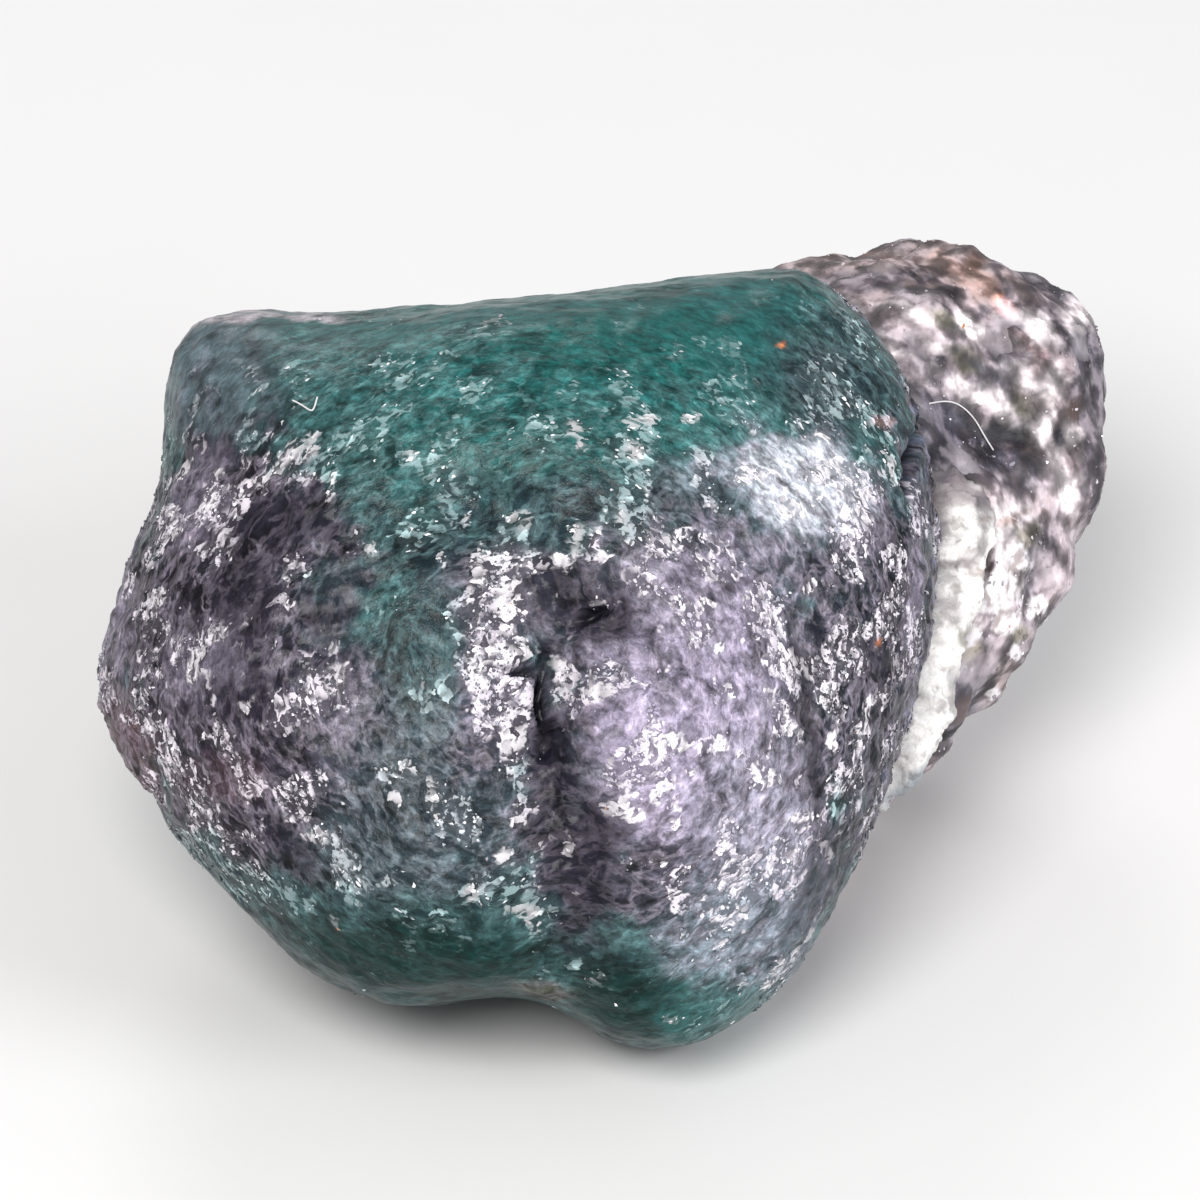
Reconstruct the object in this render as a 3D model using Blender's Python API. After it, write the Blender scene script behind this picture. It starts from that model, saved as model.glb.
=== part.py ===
"""Emerald in matrix: a waterworn emerald seated in a lump of mica schist, with a feldspar seam along the joint.

Every shape is drawn as it is seen from the front: X runs across, Z runs up and Y runs away from the
viewer, in millimetres from the middle of the emerald. An empty then leans the whole stone back, until it
rests on its underside, and moves it so that the origin is under the middle of its bounding box.
"""

import math

import bmesh
import bpy
import numpy as np
from mathutils import Vector, noise

MM = 0.001

# How the stone lies
LEAN_BACK = math.radians(35.0)  # between the line of sight and the ground
RECEDE = 0.2  # how far a point falls back for each unit that it is higher up
GROUND = -6.2  # height of the ground under the middle of the emerald
JOINT_GAP = 0.06  # between touching minerals

# How the notches of an outline fade towards the middle of the stone
NOTCH_FADE = (0.15, 0.8)  # from here to here in how squarely a place faces the viewer
NOTCH_SPREAD = 40  # degrees of outline over which they are evened out, to each side
SHARP_EDGE = math.radians(40.0)

# Emerald: its outline as seen from the front, clockwise from the left tip, as (across, up)
EMERALD_OUTLINE = (
    (-8.6, -0.7), (-8.0, 1.8), (-7.5, 3.0), (-7.3, 4.6), (-7.15, 6.0), (-6.3, 6.8), (-4.4, 6.75),
    (-0.4, 7.05), (4.4, 7.6), (5.7, 7.5), (7.2, 6.0), (7.9, 4.2), (8.1, 1.2), (7.4, -1.9), (6.3, -4.6),
    (5.2, -6.4), (3.5, -7.75), (1.9, -7.85), (0.4, -7.05), (-0.6, -6.88), (-2.6, -7.05), (-4.4, -6.35),
    (-6.2, -4.6), (-7.1, -3.6), (-7.35, -3.0), (-8.0, -2.4),
)
EMERALD_FRONT = 5.2  # from the outline's plane to the front
EMERALD_BACK = 5.4
EMERALD_FULLNESS = 2.5  # 2 is an ellipsoid, more is boxier
EMERALD_CELLS = 19  # squares along each side of the cube it is blown up from

# Swellings and hollows of the front: across, up, reach, height towards the viewer
EMERALD_LUMPS = (
    (3.2, -2.4, 2.9, 0.9),  # lilac lobe, low on the right
    (-5.6, -0.6, 2.4, 0.7),  # left lobe
    (-2.6, -4.6, 2.0, 0.5),  # lower left lobe
    (2.0, 4.6, 4.0, 0.5),  # brow under the green top
    (-5.0, 4.8, 1.8, 0.35),  # upper left corner
    (-6.0, 3.0, 1.2, -0.35),  # waist under that corner
    (1.4, 0.7, 0.8, -0.5),  # dark hollow above the lobe
    (0.3, -0.9, 0.8, -0.55),  # slot beside the lobe
    (-0.8, 1.5, 0.8, 0.35),  # pale knot left of the hollow
    (6.6, 2.4, 1.6, 0.35),  # mica shoulder against the matrix
    (-4.3, -3.4, 0.9, -0.25),  # dark dent at the lower left
)
# The valley that runs down between the lobes to the notch: points it passes, its reach and its depth
VALLEY = ((-0.9, 2.6), (0.2, 0.4), (0.3, -1.8), (0.7, -4.2), (0.5, -7.0))
VALLEY_REACH = 1.0
VALLEY_DEPTH = 0.75
# A step that sets the dark right flank back from the lilac lobe
FLANK_STEP = ((4.6, 1.6), (5.5, -0.4), (5.7, -2.6), (6.0, -4.4))
FLANK_REACH = 0.45
FLANK_DEPTH = 0.22
EMERALD_GRAIN = 0.07  # height of the small unevenness
EMERALD_GRAIN_SIZE = 1.1

# Swellings and hollows of the back, in the same form: away from the viewer where the height is positive
EMERALD_BACK_LUMPS = (
    (-4.4, 2.4, 2.4, 0.8),
    (-1.2, 3.4, 1.2, -0.5),
    (1.6, 5.2, 2.2, 0.6),
    (-6.4, -1.0, 1.4, 0.5),
    (-4.6, -1.0, 1.1, -0.4),
)

# Matrix: the lump of schist that holds the emerald from behind and from the right
MATRIX_MIDDLE = (4.5, 4.6, 1.8)  # across, back, up
MATRIX_OUTLINE = (
    (5.1, 7.8), (7.0, 8.2), (8.1, 8.45), (9.0, 8.25), (10.0, 7.75), (10.9, 7.65), (11.55, 7.15), (11.7, 5.6),
    (11.8, 4.2), (11.5, 2.9), (10.95, 1.7), (10.5, 0.5), (9.2, -1.2), (8.4, -1.9), (7.3, -2.9), (6.2, -4.3),
    (4.2, -5.4), (1.2, -5.2), (-1.6, -4.0), (-3.6, -1.2), (-3.7, 2.2), (-2.0, 5.0), (1.6, 6.7),
)
MATRIX_FRONT = 3.9
MATRIX_BACK = 4.4
MATRIX_FULLNESS = 2.6
MATRIX_CELLS = 18
MATRIX_LUMPS = (
    (8.2, 6.9, 1.3, 0.6),  # knob under the top edge
    (10.6, 6.2, 1.1, 0.6),  # corner knob
    (9.6, 4.3, 1.4, -0.8),  # dark hollow in the middle
    (9.0, 1.6, 1.3, 0.5),  # feldspar swelling
    (9.6, -0.4, 1.0, 0.35),  # lower swelling
)
MATRIX_BACK_LUMPS = (
    (8.6, 4.8, 2.0, 0.5),
    (5.0, 5.0, 1.6, -0.5),
    (1.0, 2.4, 2.2, 0.6),
    (6.8, 0.4, 1.6, -0.6),
)
# Broken faces: how many, how deep they cut into the lump at most, and the seed of the ways they look
MATRIX_BREAKS = 70
MATRIX_BREAK_DEPTH = 0.9
MATRIX_BREAK_SEED = 5
BREAK_SHARE_SIDEWAYS = 0.15  # how much of that depth is left to a face that looks along the outline
LEDGE_WAY = (0.62, 0.25, 0.74)  # across the layers of the schist
LEDGE_SPACING = 1.9
LEDGE_HEIGHT = 0.13
LEDGE_WANDER = 0.5  # how far the layers wave, in spacings
MATRIX_GRAIN = 0.26
MATRIX_GRAIN_SIZE = 1.3

# Feldspar seam: a flat vein along the joint, as points (across, back, up) from its top to its tip
SEAM_ROUTE = (
    (8.3, 1.5, 3.5), (8.5, 1.3, 2.5), (8.35, 1.2, 1.2), (8.1, 1.1, 0.0), (7.95, 1.1, -1.2), (7.4, 1.2, -2.3),
    (6.9, 1.5, -3.1),
)
SEAM_HALF_WIDTHS = (0.4, 0.9, 0.8, 0.6, 0.5, 0.46, 0.25)
SEAM_GRAIN = 0.14
SEAM_GRAIN_SIZE = 0.8
SEAM_STEPS = 4  # rings between one point of the route and the next

COLOURS = {  # name: (red, green, blue, roughness)
    "emerald": (0.03, 0.12, 0.10, 0.25),
    "matrix": (0.22, 0.19, 0.22, 0.75),
    "feldspar_seam": (0.78, 0.74, 0.72, 0.55),
}
GROUND_CUTTER_SIZE = 80.0


def smooth_step(low, high, value):
    t = np.clip((value - low) / (high - low), 0.0, 1.0)
    return t * t * (3.0 - 2.0 * t)


def curve_through(points, closed, steps=12):
    """Points of the Catmull-Rom curve through these points, several to each span."""
    p = np.array(points, float)
    if closed:
        p = np.concatenate([p[-1:], p, p[:2]])
    else:
        p = np.concatenate([2 * p[:1] - p[1:2], p, 2 * p[-1:] - p[-2:-1]])
    t = np.linspace(0.0, 1.0, steps, endpoint=False)[:, None]
    spans = []
    for a, b, c, d in zip(p, p[1:], p[2:], p[3:]):
        spans.append(
            0.5 * (2 * b + (c - a) * t + (2 * a - 5 * b + 4 * c - d) * t**2 + (3 * b - a - 3 * c + d) * t**3)
        )
    if not closed:
        spans.append(p[-2:-1])
    return np.concatenate(spans)


def outline_radius(outline, middle):
    """The outline's radius as two functions of the angle about its middle: as drawn, and with even notches."""
    line = curve_through(outline, closed=True) - np.array(middle)
    angle = np.arctan2(line[:, 1], line[:, 0])
    order = np.argsort(angle)
    angle, radius = angle[order], np.hypot(*line[order].T)

    def sharp(at):
        return np.interp(at, angle, radius, period=2 * math.pi)

    def even(at):
        spread = np.radians(np.linspace(-NOTCH_SPREAD, NOTCH_SPREAD, 9))
        return np.mean([sharp(at + turn) for turn in spread], axis=0)

    return sharp, even


def distance_to_line(across, up, points):
    """Distance in the viewer's plane from each point to a smooth line."""
    line = curve_through(points, closed=False)
    return np.min(np.hypot(across[:, None] - line[:, 0], up[:, None] - line[:, 1]), axis=1)


def grain(points, size, seed):
    """Uneven numbers about 0 that change smoothly over the given size."""
    return np.array([noise.fractal(Vector(p / size + seed), 1.0, 2.0, 3) for p in points])


def unit_ball(cells):
    """A cube of small squares blown up to a ball, as a bmesh."""
    ball = bmesh.new()
    bmesh.ops.create_cube(ball, size=2.0)
    bmesh.ops.subdivide_edges(ball, edges=ball.edges[:], cuts=cells - 1, use_grid_fill=True)
    for vertex in ball.verts:
        even = [math.tan(c * math.pi / 4) for c in vertex.co]
        vertex.co = Vector(even).normalized()
    return ball


def boulder(ways, outline, middle, front, back, fullness):
    """Where each direction from the middle meets a body with this outline and these depths.

    With the points come numbers from -1, where the body faces the viewer, to 1, where it faces away.
    """
    across, away, up = ways.T
    angle = np.arctan2(up, across)
    sharp, even = outline_radius(outline, (middle[0], middle[2]))
    rounding = smooth_step(*NOTCH_FADE, np.abs(away))
    radius = sharp(angle) * (1 - rounding) + even(angle) * rounding
    spread = np.hypot(across, up) ** (2 / fullness)
    depth = np.sign(away) * np.abs(away) ** (2 / fullness)
    points = np.stack(
        [
            middle[0] + radius * spread * np.cos(angle),
            middle[1] + depth * np.where(depth < 0, front, back),
            middle[2] + radius * spread * np.sin(angle),
        ],
        axis=1,
    )
    return points, np.sign(depth) * np.sqrt(np.abs(depth))


def add_lumps(points, facing, lumps):
    """Moves one side of the body away from its middle, or towards it, round each lump's place."""
    for across, up, reach, height in lumps:
        near = np.exp(-((points[:, 0] - across) ** 2 + (points[:, 2] - up) ** 2) / reach**2)
        points[:, 1] += height * near * facing


def add_groove(points, facing, line, reach, depth):
    """Sets the front back along a line."""
    near = np.exp(-((distance_to_line(points[:, 0], points[:, 2], line) / reach) ** 2))
    points[:, 1] += depth * near * np.maximum(-facing, 0)


def break_faces(points, middle):
    """Cuts the lump back to flat faces that look every way, least where they would cut into its outline."""
    random = np.random.default_rng(MATRIX_BREAK_SEED)
    normals = random.normal(size=(MATRIX_BREAKS, 3))
    normals /= np.linalg.norm(normals, axis=1)[:, None]
    reach = (points - middle) @ normals.T
    share = BREAK_SHARE_SIDEWAYS + (1 - BREAK_SHARE_SIDEWAYS) * np.abs(normals[:, 1])
    depth = MATRIX_BREAK_DEPTH * share * random.uniform(0.3, 1.0, MATRIX_BREAKS)
    limit = reach.max(axis=0) - depth
    shrink = np.min(np.where(reach > limit, limit / reach, 1.0), axis=1)
    return middle + (points - middle) * shrink[:, None]


def shape_emerald(ways):
    middle = (0.0, 0.0, 0.0)
    points, facing = boulder(ways, EMERALD_OUTLINE, middle, EMERALD_FRONT, EMERALD_BACK, EMERALD_FULLNESS)
    add_lumps(points, np.minimum(facing, 0), EMERALD_LUMPS)
    add_lumps(points, np.maximum(facing, 0), EMERALD_BACK_LUMPS)
    add_groove(points, facing, VALLEY, VALLEY_REACH, VALLEY_DEPTH)
    add_groove(points, facing, FLANK_STEP, FLANK_REACH, FLANK_DEPTH)
    bumps = grain(points, EMERALD_GRAIN_SIZE, seed=3.0)
    return points + ways * (EMERALD_GRAIN * bumps)[:, None]


def shape_matrix(ways):
    points, facing = boulder(ways, MATRIX_OUTLINE, MATRIX_MIDDLE, MATRIX_FRONT, MATRIX_BACK, MATRIX_FULLNESS)
    points = break_faces(points, np.array(MATRIX_MIDDLE))
    add_lumps(points, np.minimum(facing, 0), MATRIX_LUMPS)
    add_lumps(points, np.maximum(facing, 0), MATRIX_BACK_LUMPS)
    layers = points @ (np.array(LEDGE_WAY) / np.linalg.norm(LEDGE_WAY)) / LEDGE_SPACING
    layers = (layers + LEDGE_WANDER * grain(points, 2 * LEDGE_SPACING, seed=11.0)) % 1.0
    ledges = LEDGE_HEIGHT * (2 * smooth_step(0.0, 0.6, layers) * smooth_step(0.0, 0.4, 1 - layers) - 1)
    bumps = MATRIX_GRAIN * grain(points, MATRIX_GRAIN_SIZE, seed=7.0)
    return points + ways * (ledges + bumps)[:, None]


def material_for(name):
    red, green, blue, roughness = COLOURS[name]
    material = bpy.data.materials.new(name)
    material.use_nodes = True
    shader = material.node_tree.nodes["Principled BSDF"]
    shader.inputs["Base Color"].default_value = (red, green, blue, 1.0)
    shader.inputs["Roughness"].default_value = roughness
    shader.inputs["Metallic"].default_value = 0.0
    return material


def mineral(name, body, collection, parent):
    """An object of this bmesh, smooth-shaded, with its own material, carried by the leaning empty."""
    mesh = bpy.data.meshes.new(name)
    body.to_mesh(mesh)
    body.free()
    mesh.shade_smooth()
    mesh.set_sharp_from_angle(angle=SHARP_EDGE)
    mesh.materials.append(material_for(name))
    obj = bpy.data.objects.new(name, mesh)
    collection.objects.link(obj)
    obj.parent = parent
    return obj


def boulder_mesh(cells, shape):
    """A bmesh of the given shape, with the lean of the front put in, in metres."""
    body = unit_ball(cells)
    points = shape(np.array([vertex.co for vertex in body.verts]))
    points[:, 1] += RECEDE * points[:, 2]
    for vertex, point in zip(body.verts, points):
        vertex.co = Vector(point * MM)
    return body


def seam_mesh(collection):
    """A tapered vein: a curve along its route, with its own girth at each point, roughened as a mesh."""
    route = curve_through(SEAM_ROUTE, closed=False, steps=SEAM_STEPS)
    at = np.linspace(0, len(SEAM_HALF_WIDTHS) - 1, len(route))
    half_widths = np.interp(at, range(len(SEAM_HALF_WIDTHS)), SEAM_HALF_WIDTHS)
    curve = bpy.data.curves.new("seam_route", "CURVE")
    curve.dimensions = "3D"
    curve.bevel_depth = MM
    curve.bevel_resolution = 4
    curve.use_fill_caps = True
    spline = curve.splines.new("POLY")
    spline.points.add(len(route) - 1)
    for point, (across, away, up), half_width in zip(spline.points, route, half_widths):
        point.co = (across * MM, (away + RECEDE * up) * MM, up * MM, 1.0)
        point.radius = half_width
    tube = bpy.data.objects.new("seam_route", curve)
    collection.objects.link(tube)
    graph = bpy.context.evaluated_depsgraph_get()
    mesh = bpy.data.meshes.new_from_object(tube.evaluated_get(graph))
    bpy.data.objects.remove(tube)
    body = bmesh.new()
    body.from_mesh(mesh)
    bmesh.ops.remove_doubles(body, verts=body.verts[:], dist=0.001 * MM)
    body.normal_update()
    bumps = SEAM_GRAIN * grain(np.array([vertex.co for vertex in body.verts]) / MM, SEAM_GRAIN_SIZE, seed=5.0)
    for vertex, bump in zip(body.verts, bumps):
        vertex.co += vertex.normal * bump * MM
    return body


def swollen(obj, collection):
    """A cutter: the same body, grown by the joint gap."""
    cutter = bpy.data.objects.new(obj.name + "_clearance", obj.data.copy())
    collection.objects.link(cutter)
    cutter.parent = obj.parent
    grow = cutter.modifiers.new("grow", "DISPLACE")
    grow.mid_level = 0.0
    grow.strength = JOINT_GAP * MM
    hide_helper(cutter)
    return cutter


def hide_helper(obj):
    obj.hide_render = True
    obj.display_type = "WIRE"


def ground_cutter(collection):
    """Everything under the ground, as one block whose top face is the ground."""
    bpy.ops.mesh.primitive_cube_add(size=GROUND_CUTTER_SIZE * MM, location=(0, 0, -GROUND_CUTTER_SIZE * MM / 2))
    block = bpy.context.object
    block.name = "ground_cutter"
    for owner in block.users_collection:
        owner.objects.unlink(block)
    collection.objects.link(block)
    hide_helper(block)
    return block


def cut(obj, cutter):
    modifier = obj.modifiers.new("less_" + cutter.name, "BOOLEAN")
    modifier.operation = "DIFFERENCE"
    modifier.object = cutter


def centre_over_origin(objects, stand):
    """Slides the stone along the ground until the middle of its bounding box is over the origin."""
    bpy.context.view_layer.update()
    graph = bpy.context.evaluated_depsgraph_get()
    corners = []
    for obj in objects:
        evaluated = obj.evaluated_get(graph)
        corners += [evaluated.matrix_world @ vertex.co for vertex in evaluated.to_mesh().vertices]
        evaluated.to_mesh_clear()
    corners = np.array(corners)
    middle = (corners.min(axis=0) + corners.max(axis=0)) / 2
    stand.location.x -= middle[0]
    stand.location.y -= middle[1]
    bpy.context.view_layer.update()


def collection_for(name):
    collection = bpy.data.collections.new(name)
    bpy.context.scene.collection.children.link(collection)
    return collection


def main():
    for obj in list(bpy.data.objects):
        bpy.data.objects.remove(obj)
    stone = collection_for("emerald_in_matrix")
    cutters = collection_for("cutters")

    stand = bpy.data.objects.new("lean", None)
    stone.objects.link(stand)
    stand.rotation_euler.x = -LEAN_BACK
    stand.location.z = -GROUND * MM

    emerald = mineral("emerald", boulder_mesh(EMERALD_CELLS, shape_emerald), stone, stand)
    seam = mineral("feldspar_seam", seam_mesh(stone), stone, stand)
    matrix = mineral("matrix", boulder_mesh(MATRIX_CELLS, shape_matrix), stone, stand)

    room_for_emerald = swollen(emerald, cutters)
    room_for_seam = swollen(seam, cutters)
    ground = ground_cutter(cutters)
    cut(emerald, ground)
    cut(seam, room_for_emerald)
    cut(seam, ground)
    cut(matrix, room_for_emerald)
    cut(matrix, room_for_seam)
    cut(matrix, ground)
    centre_over_origin((emerald, seam, matrix), stand)


main()
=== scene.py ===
"""Emerald in matrix: the looks of a waterworn emerald in mica schist, built round the frame of its solids.

The places of colours and patches are given face on, as the stone is seen from the front: across to the right and up,
in millimetres from the middle of the emerald. The third number of such a place is how far away it lies.
"""

import math
from collections import namedtuple

import bmesh
import bpy
import numpy as np
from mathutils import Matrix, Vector, noise
from mathutils.bvhtree import BVHTree


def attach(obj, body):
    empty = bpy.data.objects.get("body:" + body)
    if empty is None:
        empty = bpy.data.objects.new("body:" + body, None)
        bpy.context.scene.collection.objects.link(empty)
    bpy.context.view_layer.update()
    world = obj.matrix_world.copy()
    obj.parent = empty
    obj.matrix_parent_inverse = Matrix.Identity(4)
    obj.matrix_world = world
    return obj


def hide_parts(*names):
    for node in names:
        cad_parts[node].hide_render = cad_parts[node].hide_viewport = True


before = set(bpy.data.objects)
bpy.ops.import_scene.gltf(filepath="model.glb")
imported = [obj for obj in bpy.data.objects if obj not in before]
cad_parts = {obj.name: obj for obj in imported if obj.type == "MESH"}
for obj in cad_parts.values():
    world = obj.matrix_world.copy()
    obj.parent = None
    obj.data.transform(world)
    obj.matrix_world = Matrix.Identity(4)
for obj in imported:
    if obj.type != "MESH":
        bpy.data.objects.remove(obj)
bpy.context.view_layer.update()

bl_info = {
    "name": "Emerald in Matrix",
    "version": (1, 0, 0),
    "blender": (4, 5, 0),
    "location": "3D View > Sidebar > Emerald",
    "description": "Builds a waterworn emerald in mica schist, its mica flakes, grains and fibres, and a studio",
    "category": "Add Mesh",
}

MM = 0.001
IMAGE_SIDE = 1200  # pixels of the square picture

# The viewer's plane, as the solids were drawn in it
LOOK_DOWN = math.radians(35.0)
MIDDLE = np.array((-1.641, -1.857, 6.2))  # middle of the emerald in the row frame, in mm
ACROSS = np.array((1.0, 0.0, 0.0))
UP = np.array((0.0, math.sin(LOOK_DOWN), math.cos(LOOK_DOWN)))
AWAY = np.array((0.0, math.cos(LOOK_DOWN), -math.sin(LOOK_DOWN)))
SIDEWAYS = -0.4  # how far a surface may turn from the viewer before none of the front's patches show on it

PIXEL = 0.02  # mm that a pixel of the picture shows
MIDDLE_PIXEL = (530, 650)  # where the picture shows the middle of the emerald, from its left and top edges

SCHIST_MIDDLE = (764, 515)  # what the layers of the schist bend round, in the picture

# A patch lies round a place in the picture: its middle, half width, half height and turn in degrees
Patch = namedtuple("Patch", "colour left top wide high turn strength")

# Patches of colour on the front of the emerald, each over the ones before it
EMERALD_PATCHES = (
    Patch("teal", 560, 400, 430, 190, 0, 1.0),
    Patch("green", 600, 345, 240, 75, 4, 0.8),
    Patch("deep_green", 610, 345, 130, 42, 4, 0.7),
    Patch("deep_green", 560, 470, 70, 40, 0, 0.5),
    Patch("deep_green", 385, 610, 45, 60, 0, 0.6),
    Patch("glass_grey", 215, 375, 62, 90, 0, 0.9),
    Patch("teal_grey", 330, 400, 60, 60, 0, 0.5),
    # The two rim patches lay a painted highlight along the upper left edge
    Patch("rim", 240, 317, 55, 5, 4, 0.9),
    Patch("rim", 310, 318, 40, 4, -2, 0.8),
    Patch("glass_grey", 200, 372, 12, 18, 0, 0.8),
    Patch("grey_teal", 204, 366, 8, 14, -10, 0.8),
    Patch("grey_teal", 186, 402, 6, 12, -10, 0.7),
    Patch("grey_teal", 214, 402, 6, 16, -10, 0.5),
    Patch("green_grey", 440, 650, 70, 60, 0, 0.7),
    Patch("slate_teal", 830, 385, 60, 70, 25, 0.9),
    Patch("night_teal", 876, 385, 22, 80, 28, 0.9),
    Patch("grey_teal", 790, 490, 85, 48, -15, 0.8),
    Patch("grey_teal", 700, 490, 60, 30, 0, 0.5),
    Patch("milk", 805, 488, 62, 34, -20, 0.9),
    Patch("slate_teal", 610, 560, 200, 90, 0, 0.95),
    Patch("slate_teal", 470, 720, 110, 150, 0, 0.95),
    Patch("slate_teal", 380, 690, 60, 60, 0, 0.8),
    Patch("night_teal", 400, 590, 70, 70, 0, 0.8),
    Patch("deep_green", 388, 612, 30, 30, 0, 0.6),
    Patch("night_teal", 360, 500, 70, 40, 0, 0.5),
    Patch("green_grey", 340, 560, 40, 60, 0, 0.7),
    Patch("teal_grey", 430, 650, 50, 60, 0, 0.6),
    # Mica field on the left
    Patch("violet_dark", 245, 520, 95, 95, 30, 1.0),
    Patch("violet_dark", 215, 660, 120, 150, 0, 1.0),
    Patch("violet_dark", 270, 790, 95, 90, 0, 0.95),
    Patch("slate", 345, 730, 48, 90, 0, 0.7),
    Patch("green_grey", 410, 745, 50, 70, 0, 0.6),
    Patch("night", 295, 520, 55, 32, 20, 0.8),
    Patch("night", 250, 600, 30, 70, 10, 0.5),
    Patch("night", 335, 610, 32, 60, 0, 0.6),
    Patch("night", 245, 680, 40, 35, 0, 0.5),
    Patch("night", 295, 845, 34, 16, -50, 0.9),
    Patch("lilac_grey", 205, 500, 50, 30, 55, 0.6),
    Patch("lilac_grey", 118, 640, 14, 90, -8, 0.7),
    Patch("lilac_grey", 205, 660, 45, 38, 40, 0.5),
    Patch("red_brown", 128, 745, 34, 55, 28, 0.7),
    Patch("red_brown", 230, 775, 40, 22, 0, 0.35),
    # Middle and foot
    Patch("grey_low", 400, 830, 85, 85, 0, 0.9),
    Patch("grey_low", 470, 760, 60, 60, 0, 0.5),
    Patch("night_teal", 245, 905, 34, 85, 42, 0.9),
    # Painted shade along the foot, over its deep green
    Patch("bottle_green", 420, 955, 140, 50, -4, 1.0),
    Patch("night_teal", 545, 515, 75, 34, 0, 0.9),
    Patch("slate", 520, 600, 70, 40, 0, 0.6),
    Patch("slate", 500, 700, 40, 70, 0, 0.8),
    # The lobe
    Patch("lilac_grey", 700, 600, 95, 55, 15, 0.8),
    Patch("lilac_grey", 690, 730, 125, 150, 0, 1.0),
    Patch("lilac", 650, 735, 62, 90, 0, 0.8),
    Patch("lilac", 740, 680, 55, 60, 0, 0.5),
    Patch("grey_violet", 755, 830, 60, 80, 0, 0.9),
    Patch("slate", 670, 880, 70, 40, 0, 0.8),
    Patch("grey_teal", 740, 935, 66, 72, -20, 0.9),
    # Painted shade along the foot, over its deep green
    Patch("bottle_green", 625, 1000, 66, 46, -20, 1.0),
    Patch("teal", 710, 1010, 60, 32, 20, 0.8),
    # The night and black patches down the middle are painted shade in the valley beside the lobe and in the crack
    Patch("night", 578, 850, 44, 85, 5, 1.0),
    Patch("night", 550, 765, 30, 60, 0, 1.0),
    Patch("black", 546, 697, 7, 46, 0, 1.0),
    Patch("black", 528, 670, 16, 5, 0, 0.8),
    Patch("night", 555, 800, 22, 60, -4, 0.9),
    # Mica along the joint
    Patch("ink", 858, 615, 66, 105, 0, 0.9),
    Patch("ink", 850, 740, 60, 130, 20, 0.9),
    Patch("ink", 898, 600, 30, 150, 0, 0.95),
    Patch("lilac_grey", 842, 512, 46, 30, -30, 0.7),
    Patch("milk", 800, 490, 56, 36, -20, 1.0),
    Patch("night", 800, 700, 8, 105, 8, 0.75),
    Patch("lilac_grey", 912, 590, 9, 130, -2, 0.7),
    Patch("night", 815, 880, 20, 85, -24, 0.6),
    # Painted shade in the crease along the joint with the matrix
    Patch("black", 912, 462, 5, 38, -8, 0.9),
    Patch("night", 876, 655, 12, 20, 10, 0.9),
    # Painted shade in and round the pit
    Patch("night", 594, 612, 44, 28, 20, 0.95),
    Patch("night", 550, 585, 30, 22, 0, 0.8),
    Patch("black", 592, 616, 14, 7, 20, 0.8),
    Patch("night_teal", 410, 635, 42, 42, 0, 0.7),
    Patch("night", 548, 645, 18, 16, 0, 0.95),
    Patch("rust_grey", 878, 422, 12, 6, 0, 0.7),
    Patch("rust", 780, 347, 4, 4, 0, 1.0),
    Patch("rust", 876, 641, 3, 5, 0, 0.8),
    Patch("olive", 548, 984, 34, 9, -8, 0.5),
)
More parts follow.
